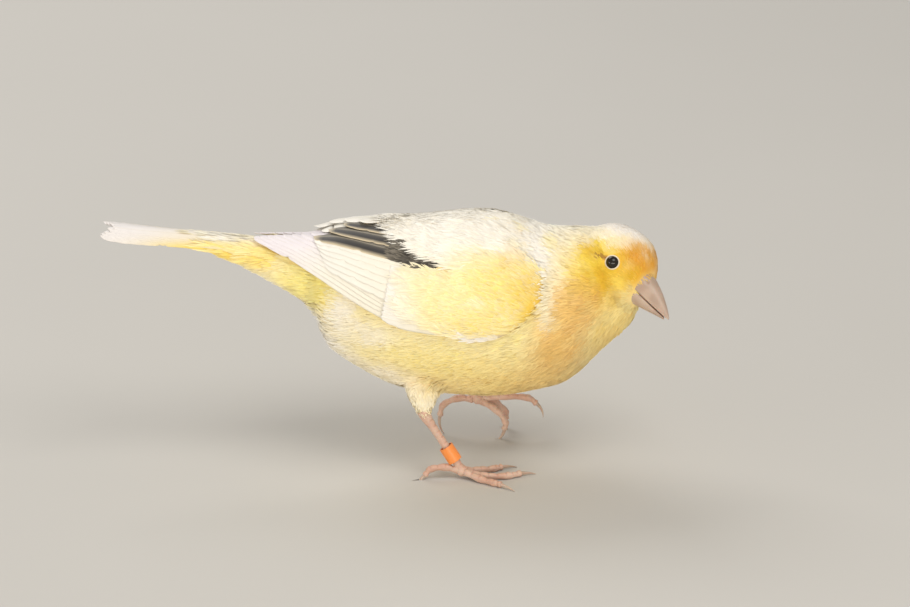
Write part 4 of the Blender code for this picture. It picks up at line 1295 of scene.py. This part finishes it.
def make_wing(word, side, quill_material):
    """A folded wing's flight feathers and larger coverts, over a thin arm."""
    rng = np.random.default_rng(SEED + 50 + side)
    bm = new_sheet()

    def add(root, tip, half_width, lifts, tilt, bow, point, paint, shaft=0.0):
        path, length = wing_path(side, root, tip, lifts, tilt, bow)
        add_feather(bm, path, length, half_width, point, paint, rng, shaft)

    sunk = 0.0 if side == RIGHT else 0.25
    crossing = 36.0 if side == RIGHT else 28.0
    primaries = 9
    for i in range(primaries):
        f = i / (primaries - 1)
        tip_x = -28.4 + 13.0 * f**1.3 if i else -25.5
        add((7.0, 2.0 + 20.0 * f), (tip_x, 56.0 + crossing * f**0.6), 1.7,
            (-0.7 + 0.3 * f, -0.5 + 0.35 * f - sunk), 0.06, -9.0, 0.84, rosy_feather, -0.3)
    secondaries = 6
    for i in range(secondaries):
        f = i / (secondaries - 1)
        add((11.0, 16.0 + 27.0 * f), (-12.5 - 2.2 * f, 40.0 + 30.0 * f), 2.0,
            (-0.4 + 0.2 * f, -0.25 + 0.45 * f - sunk), 0.07, -4.0, 0.84, cream_feather, -0.2)
    tertials = 4
    tertial_paint = dark_feather if side == RIGHT else cream_feather
    raised = 0.0 if side == RIGHT else 0.5
    for i in range(tertials):
        f = i / (tertials - 1)
        add((12.0 - 2.0 * f, 47.0 + 30.0 * f), (-14.8 + 9.5 * f, 75.0 + 20.0 * f), 2.4 - 0.3 * f,
            (-0.3 - 0.4 * f, 0.25 + 0.3 * f + raised), 0.1, -4.0 * (1 - f), 0.72, tertial_paint)

    def covert_paint(s, w):
        return (PALE_YELLOW * (1 - s) * 0.8 + WHITE * (0.2 + 0.8 * s)) * WEB_TONE

    greater = 12
    for i in range(greater):
        f = i / (greater - 1)
        turn = 1.0 + 37.0 * f
        root_turn = max(turn - 4.0, interpolate(WING_LOW_EDGE, 19.0)[0] + 6.0)
        add((19.0, root_turn), (-0.6 + 2.0 * f, turn + 2.5), 1.7, (-0.6, 0.0), 0.04, 0.0, 0.6, covert_paint)
    if side == LEFT:
        add((8.0, 86.0), (-13.2, 90.5), 2.4, (-0.8, 0.05), 0.0, 0.0, 0.72, cream_feather)
    feathers = make_object("flight_feathers_" + word, bm, quill_material)
    thick = feathers.modifiers.new("Web", "SOLIDIFY")
    thick.thickness = WEB_THICKNESS * MM
    thick.offset = 0.0
    return belong(feathers, "flight_feather", "wing_" + word)


def make_wing_arm(name, side, material):
    """The arm under the small coverts, a smooth shell along the flank."""
    bm = new_sheet()

    def place(u, v):
        x = 3.0 + 30.5 * v
        low = interpolate(WING_LOW_EDGE, x)[0] + 1.0
        turn = low + (interpolate(ARM_HIGH_EDGE, x)[0] - low) * u
        rim = min(u, 1 - u + step(turn, 78, 88), v * 2, (1 - v) * 2)
        return cradle(x, radians(turn), -0.35 - 0.7 * (1 - min(rim * 6, 1.0)) ** 2, side)

    add_sheet(bm, 30, 44, place)
    piece = make_object(name, bm, material)
    points, _ = mesh_points(piece.data)
    add_colours(piece.data, "plumage", wing_markings(points[:, 0], wing_turn(points))[0])
    thick = piece.modifiers.new("Arm", "SOLIDIFY")
    thick.thickness = 0.5 * MM
    thick.offset = 0.0
    return belong(piece, "plumage")


# Tail

def tail_level(x):
    """Height of the tail feathers' middle."""
    return TAIL_LEVEL + (TAIL_LEVEL_X - x) * TAIL_RISE


def make_tail(material):
    """Twelve tail feathers that lie over one another, the middle pair on top."""
    rng = np.random.default_rng(SEED + 60)
    bm = new_sheet()

    for i in range(TAIL_PAIRS):
        f = i / (TAIL_PAIRS - 1)
        for side in (RIGHT, LEFT):
            tip_x = TAIL_TIP_X + TAIL_NOTCH * (1 - f) + rng.uniform(0.0, 1.2)
            length = -24.0 - tip_x

            def path(s, i=i, side=side, length=length):
                x = -24.0 - length * s
                y = side * (0.4 + (0.2 + 0.42 * s) * i + 0.3 * s)
                centre = Vector((x, y, tail_level(x) + 0.55 - 0.2 * i - 0.03 * side + TAIL_ROLL * y))
                across = Vector((0.0, 1.0, TAIL_ROLL - 0.08 * side)).normalized()
                normal = Vector((0.0, 0.08 * side - TAIL_ROLL, 1.0)).normalized()
                return centre, Vector((-1, 0, 0)), across, normal

            def paint(s, w, i=i, side=side):
                outer = 0.5 + 0.5 * w * side
                yellow = exp(-((s - 0.42) / 0.3) ** 2) * (0.25 + 0.75 * outer) * (0.35 + 0.13 * i)
                return (PEARL * (1 - yellow) + YELLOW * yellow) * (1.01 - 0.06 * abs(w))

            add_feather(bm, path, length, 2.2, 0.8, paint, rng, 0.25 * side)
    tail = make_object("tail_feathers", bm, material)
    thick = tail.modifiers.new("Web", "SOLIDIFY")
    thick.thickness = WEB_THICKNESS * MM
    thick.offset = 0.0
    return belong(tail, "flight_feather", "tail")


# Head

def bill_section(t, upper):
    """Top, bottom and half width of one half of the bill, from its root (0) to its tip (1)."""
    culmen = BILL_ROOT_TOP + (BILL_TIP.z - BILL_ROOT_TOP) * (0.62 * t + 0.38 * t**2.4)
    line = BILL_GAPE + (BILL_TIP.z - 0.5 - BILL_GAPE) * t
    keel = BILL_ROOT_BOTTOM + (BILL_TIP.z - 0.9 - BILL_ROOT_BOTTOM) * t
    half_width = BILL_HALF_WIDTH * (1 - t) ** 0.72
    if upper:
        return culmen, line + MOUTH_GAP / 2, half_width
    return line - MOUTH_GAP / 2, keel, half_width * 0.93


def make_bill_half(name, node, upper, material):
    """A cone with a flat face along the mouth line and a round back or keel."""
    reach = BILL_TIP.x - BILL_BASE
    length = reach if upper else reach - 1.1

    def place(u, v):
        t = min(v * 1.15 - 0.15, 0.995)
        top, bottom, half_width = bill_section(max(t, 0.0), upper)
        u = u % 1.0
        arc = 0.72
        if u < arc:
            turn = pi * u / arc
            across = cos(turn) * half_width
            lift = max(sin(turn), 0.0) ** 0.85 * (top - bottom)
        else:
            across = -half_width + 2 * half_width * (u - arc) / (1 - arc)
            lift = 0.0
        ahead = BILL_BASE + length * t + (BILL_SUNK * t * 2 if t < 0 else 0.0)
        if upper:
            for side in (RIGHT, LEFT):
                gap = sqrt((ahead - BILL_BASE - 1.5)**2 + (across - side * 1.9)**2 + (bottom + lift - 0.9)**2)
                across -= side * 0.35 * exp(-(gap / 0.42) ** 2)
        return head_point(ahead, across, bottom + lift if upper else top - lift)

    bm = new_sheet()
    add_tube(bm, 56, 60, place)
    return belong(make_object(name, bm, material), "horn", node)


def make_eye(name, node, side, material):
    """The eyeball, a round ball turned to look outward."""
    centre, outward = eye_place(side)
    bm = bmesh.new()
    bmesh.ops.create_uvsphere(bm, u_segments=48, v_segments=32, radius=EYE_RADIUS * MM)
    turn = outward.to_track_quat("Z", "Y").to_matrix().to_4x4()
    bmesh.ops.transform(bm, matrix=Matrix.Translation(centre * MM) @ turn, verts=bm.verts)
    return belong(make_object(name, bm, material), "eye", node)


def make_lid(name, side, material):
    """The ring of small bare scales round the eye."""
    centre, outward = eye_place(side)
    turn = outward.to_track_quat("Z", "Y").to_matrix()

    def place(u, v):
        angle = 2 * pi * (u % 1.0)
        roll = 2 * pi * (v % 1.0)
        bead = 0.04 * sin(angle * 26)
        across = EYE_RADIUS * 0.93 + (LID_REACH / 2) * (1 + cos(roll))
        height = EYE_DEPTH * 0.3 + 0.35 - 0.5 * (across - EYE_RADIUS * 0.9) + (0.16 + bead) * sin(roll)
        return centre + turn @ Vector((cos(angle) * across, sin(angle) * across * 0.96, height))

    bm = new_sheet()
    add_sheet(bm, 104, 12, place)
    bmesh.ops.remove_doubles(bm, verts=bm.verts, dist=0.0002 * MM)
    bmesh.ops.recalc_face_normals(bm, faces=bm.faces)
    return belong(make_object(name, bm, material), "plumage")


# Legs

def frame_along(place, t, side):
    """The centre, and the side and up directions square to a path."""
    centre = place(t)
    ahead = (place(min(t + 0.02, 1.0)) - place(max(t - 0.02, 0.0))).normalized()
    side = (side - ahead * side.dot(ahead)).normalized()
    return centre, side, ahead.cross(side)


def add_scaled_tube(bm, place, radius, scutes, side, front):
    """A limb whose front carries overlapping scutes. radius(t) is its size; front is their direction."""
    crease = bm.verts.layers.float.get("crease") or bm.verts.layers.float.new("crease")
    columns = 20
    per_scute = 6
    rows = scutes * per_scute
    path = [frame_along(place, r / rows, side) for r in range(rows + 1)]
    made = bmesh.ops.create_grid(bm, x_segments=columns, y_segments=rows, size=0.5)["verts"]
    for vertex in made:
        u = vertex.co.x + 0.5
        row = round((vertex.co.y + 0.5) * rows)
        centre, aside, up = path[row]
        outward = aside * cos(2 * pi * (u % 1.0)) + up * sin(2 * pi * (u % 1.0))
        within = (row % per_scute) / per_scute
        faces_front = max(outward.dot(front), 0.0) ** 0.5
        swell = 0.09 * (1 - (2 * within - 0.9) ** 2) * faces_front
        if within == 0:
            swell = -0.05 * faces_front
        end = row in (0, rows)
        size = radius(row / rows) * (0.55 if end else 1.0) + swell
        vertex.co = (centre + outward * size) * MM
        vertex[crease] = faces_front if within == 0 else 0.15
    bmesh.ops.remove_doubles(bm, verts=made, dist=0.0002 * MM)


def close_tubes(bm, floor=0.0):
    """Fills the open ends, turns the faces outward and leaves flats on the floor."""
    rims = [edge for edge in bm.edges if edge.is_boundary]
    filled = bmesh.ops.holes_fill(bm, edges=rims, sides=0)
    bmesh.ops.triangulate(bm, faces=filled["faces"])
    for vertex in bm.verts:
        vertex.co.z = max(vertex.co.z, floor)
    bmesh.ops.recalc_face_normals(bm, faces=bm.faces)


def make_shank(name, node, leg, material):
    """The scaled lower leg, a little thicker at both joints."""
    ankle, joint = leg["ankle"], leg["joint"]
    axis = (joint - ankle).normalized()
    start = ankle - axis * 1.2
    end = joint
    stations = ((0.0, ANKLE_RADIUS), (0.12, ANKLE_RADIUS), (0.25, SHANK_RADIUS + 0.08), (0.5, SHANK_RADIUS),
                (0.85, SHANK_RADIUS), (1.0, SHANK_RADIUS + 0.15))
    bm = new_sheet()
    front = axis.cross(Vector((0, 1, 0))) * -1
    front = front if front.x > 0 else -front
    add_scaled_tube(bm, lambda t: start + (end - start) * t, lambda t: interpolate(stations, t)[0], 11,
                    Vector((0, 1, 0)), front.normalized())
    close_tubes(bm)
    return belong(make_object(name, bm, material), "leg_skin", node)


def make_foot(name, node, leg, material):
    """Four jointed toes from one ball, with scutes above."""
    joint = leg["joint"]
    bm = new_sheet()
    crease = bm.verts.layers.float.new("crease")
    made = bmesh.ops.create_uvsphere(bm, u_segments=28, v_segments=20, radius=BALL_RADIUS * MM)["verts"]
    bmesh.ops.translate(bm, verts=made, vec=joint * MM)
    for key, controls in leg["toes"].items():
        def radius(t):
            knuckle = 0.09 * cos(t * 6 * pi)
            return TOE_RADIUS + (TOE_TIP_RADIUS - TOE_RADIUS) * t + knuckle

        count = 8 if key == "middle" else 6
        add_scaled_tube(bm, lambda t: curve_point(controls, t), radius, count, Vector((0, 1, 0)),
                        Vector((0, 0, 1)))
    close_tubes(bm)
    return belong(make_object(name, bm, material), "leg_skin", node)


def make_claw(name, node, key, controls, material):
    """A curved claw that curls under and is flat where it meets the floor."""
    last = Vector(controls[-1])
    ahead = (last - Vector(controls[-2])).normalized()
    start = last - ahead * 0.4
    length = (HIND_CLAW_LENGTH if key == "hind" else CLAW_LENGTH) + 0.7
    palm = 1.0 if key == "hind" else -1.0
    steep = abs(ahead.z) > 0.6
    under = Vector((palm if steep else 0.0, 0.0, -0.3 if steep else -1.0))
    under = (under - ahead * under.dot(ahead)).normalized()
    curl = CLAW_CURL if last.z > 1.5 else 2.3 * last.z / length

    def path(t):
        return start + ahead * (length * sin(t * curl) / curl) + under * (length * (1 - cos(t * curl)) / curl)

    def place(u, v):
        centre, aside, up = frame_along(path, v, ahead.cross(under))
        size = max(CLAW_RADIUS * 1.05 * (1 - 0.9 * v**1.15), 0.03)
        turn = 2 * pi * (u % 1.0)
        return centre + aside * (cos(turn) * size * 0.85) + up * (sin(turn) * size)

    bm = new_sheet()
    add_sheet(bm, 18, 20, place)
    bmesh.ops.remove_doubles(bm, verts=bm.verts, dist=0.0002 * MM)
    close_tubes(bm)
    return belong(make_object(name, bm, material), "horn", node)


def make_ring(material):
    """The band on the right leg, with rounded rims."""
    leg = LEGS["right"]
    axis = (leg["joint"] - leg["ankle"]).normalized()
    centre = leg["ankle"] + axis * RING_ALONG_SHANK
    turn = axis.to_track_quat("Z", "Y").to_matrix()
    rim = (RING_OUTER - RING_INNER) / 2
    middle = (RING_OUTER + RING_INNER) / 2

    def place(u, v):
        angle = 2 * pi * (u % 1.0)
        roll = 2 * pi * (v % 1.0)
        straight = RING_LENGTH / 2 - rim
        height = straight * max(-1.0, min(1.0, sin(roll) * 1.6)) + rim * sin(roll)
        across = middle + rim * max(-1.0, min(1.0, cos(roll) * 1.9))
        return centre + turn @ Vector((cos(angle) * across, sin(angle) * across, height))

    bm = new_sheet()
    add_sheet(bm, 72, 32, place)
    bmesh.ops.remove_doubles(bm, verts=bm.verts, dist=0.0002 * MM)
    bmesh.ops.recalc_face_normals(bm, faces=bm.faces)
    return belong(make_object("leg_ring_band", bm, material), "ring_plastic", "leg_ring")


# Studio

def make_floor(material):
    bm = bmesh.new()
    bmesh.ops.create_grid(bm, x_segments=1, y_segments=1, size=3.0)
    floor = make_object("studio_floor", bm, material)


def add_light(name, place, target, size, power, colour):
    light = bpy.data.lights.new(name, "AREA")
    light.shape = "RECTANGLE"
    light.size, light.size_y = size
    light.energy = power
    light.color = colour
    item = bpy.data.objects.new(name, light)
    item.location = place
    item.rotation_euler = (Vector(target) - Vector(place)).to_track_quat("-Z", "Y").to_euler()
    bpy.context.scene.collection.objects.link(item)


def make_studio():
    make_floor(floor_finish())
    add_light("key", (0.25, -0.35, 0.75), (0.0, 0.0, 0.03), (0.5, 0.5), 3.2, (1.0, 0.97, 0.92))
    add_light("rim", (-0.3, 0.5, 0.6), (0.0, 0.0, 0.04), (0.5, 0.4), 2.6, (1.0, 0.98, 0.95))
    add_light("fill", (0.1, -0.75, 0.10), (0.0, 0.0, 0.03), (0.8, 0.18), 2.5, (1.0, 0.93, 0.84))
    add_light("side", (-0.65, -0.4, 0.12), (0.0, 0.0, 0.03), (0.5, 0.2), 1.3, (1.0, 0.95, 0.88))
    world = bpy.data.worlds.new("studio")
    world.use_nodes = True
    background = world.node_tree.nodes["Background"]
    background.inputs["Color"].default_value = (0.90, 0.89, 0.87, 1.0)
    background.inputs["Strength"].default_value = 0.44
    bpy.context.scene.world = world
    bpy.context.scene.view_settings.view_transform = "Standard"


def make_camera():
    """The photograph's view: level side on, from a little above, through a long lens."""
    camera = bpy.data.objects.new("camera", bpy.data.cameras.new("camera"))
    camera.data.sensor_width = SENSOR
    camera.data.lens = SENSOR * CAMERA_DISTANCE / (IMAGE_WIDTH_PIXELS / PIXELS_PER_MM)
    back = Vector((0.0, -cos(CAMERA_DOWN), sin(CAMERA_DOWN)))
    camera.location = (CAMERA_TARGET + back * CAMERA_DISTANCE) * MM
    camera.rotation_euler = (pi / 2 - CAMERA_DOWN, 0.0, 0.0)
    bpy.context.scene.collection.objects.link(camera)
    bpy.context.scene.camera = camera


def make_bird():
    coat = coat_finish()
    quill = quill_finish()
    horn = bill_finish()
    leg_skin = leg_finish()
    eye = eye_finish()
    lid = lid_finish()
    skin = make_skin(skin_finish())
    tail = make_tail(quill)
    wings = []
    for word, side in (("right", RIGHT), ("left", LEFT)):
        wings.append(make_wing(word, side, quill))
        # The arm takes the skin's finish, so its colour is darkened as painted shade too.
        wings.append(make_wing_arm("wing_arm_" + word, side, skin.data.materials[0]))
    tree = surface_tree([skin, tail, *wings])
    make_coat(skin, tree, surface_tree(wings), coat)
    make_bill_fringe(coat)
    for word, side in (("right", RIGHT), ("left", LEFT)):
        make_coverts(side, "coverts_" + word, tree, coat)
        make_eye("eyeball_" + word, "eye_" + word, side, eye)
        make_lid("lid_" + word, side, lid)
        leg = LEGS[word]
        make_shank("lower_leg_" + word, "shank_" + word, leg, leg_skin)
        make_foot("toes_" + word, "foot_" + word, leg, leg_skin)
        for key, controls in leg["toes"].items():
            end = word + "_" + key
            make_claw("nail_" + end, "claw_" + end, key, controls, horn)
    make_bill_half("bill_upper", "beak_upper", True, horn)
    make_bill_half("bill_lower", "beak_lower", False, horn)
    make_ring(ring_finish())


make_camera()
make_studio()
make_bird()
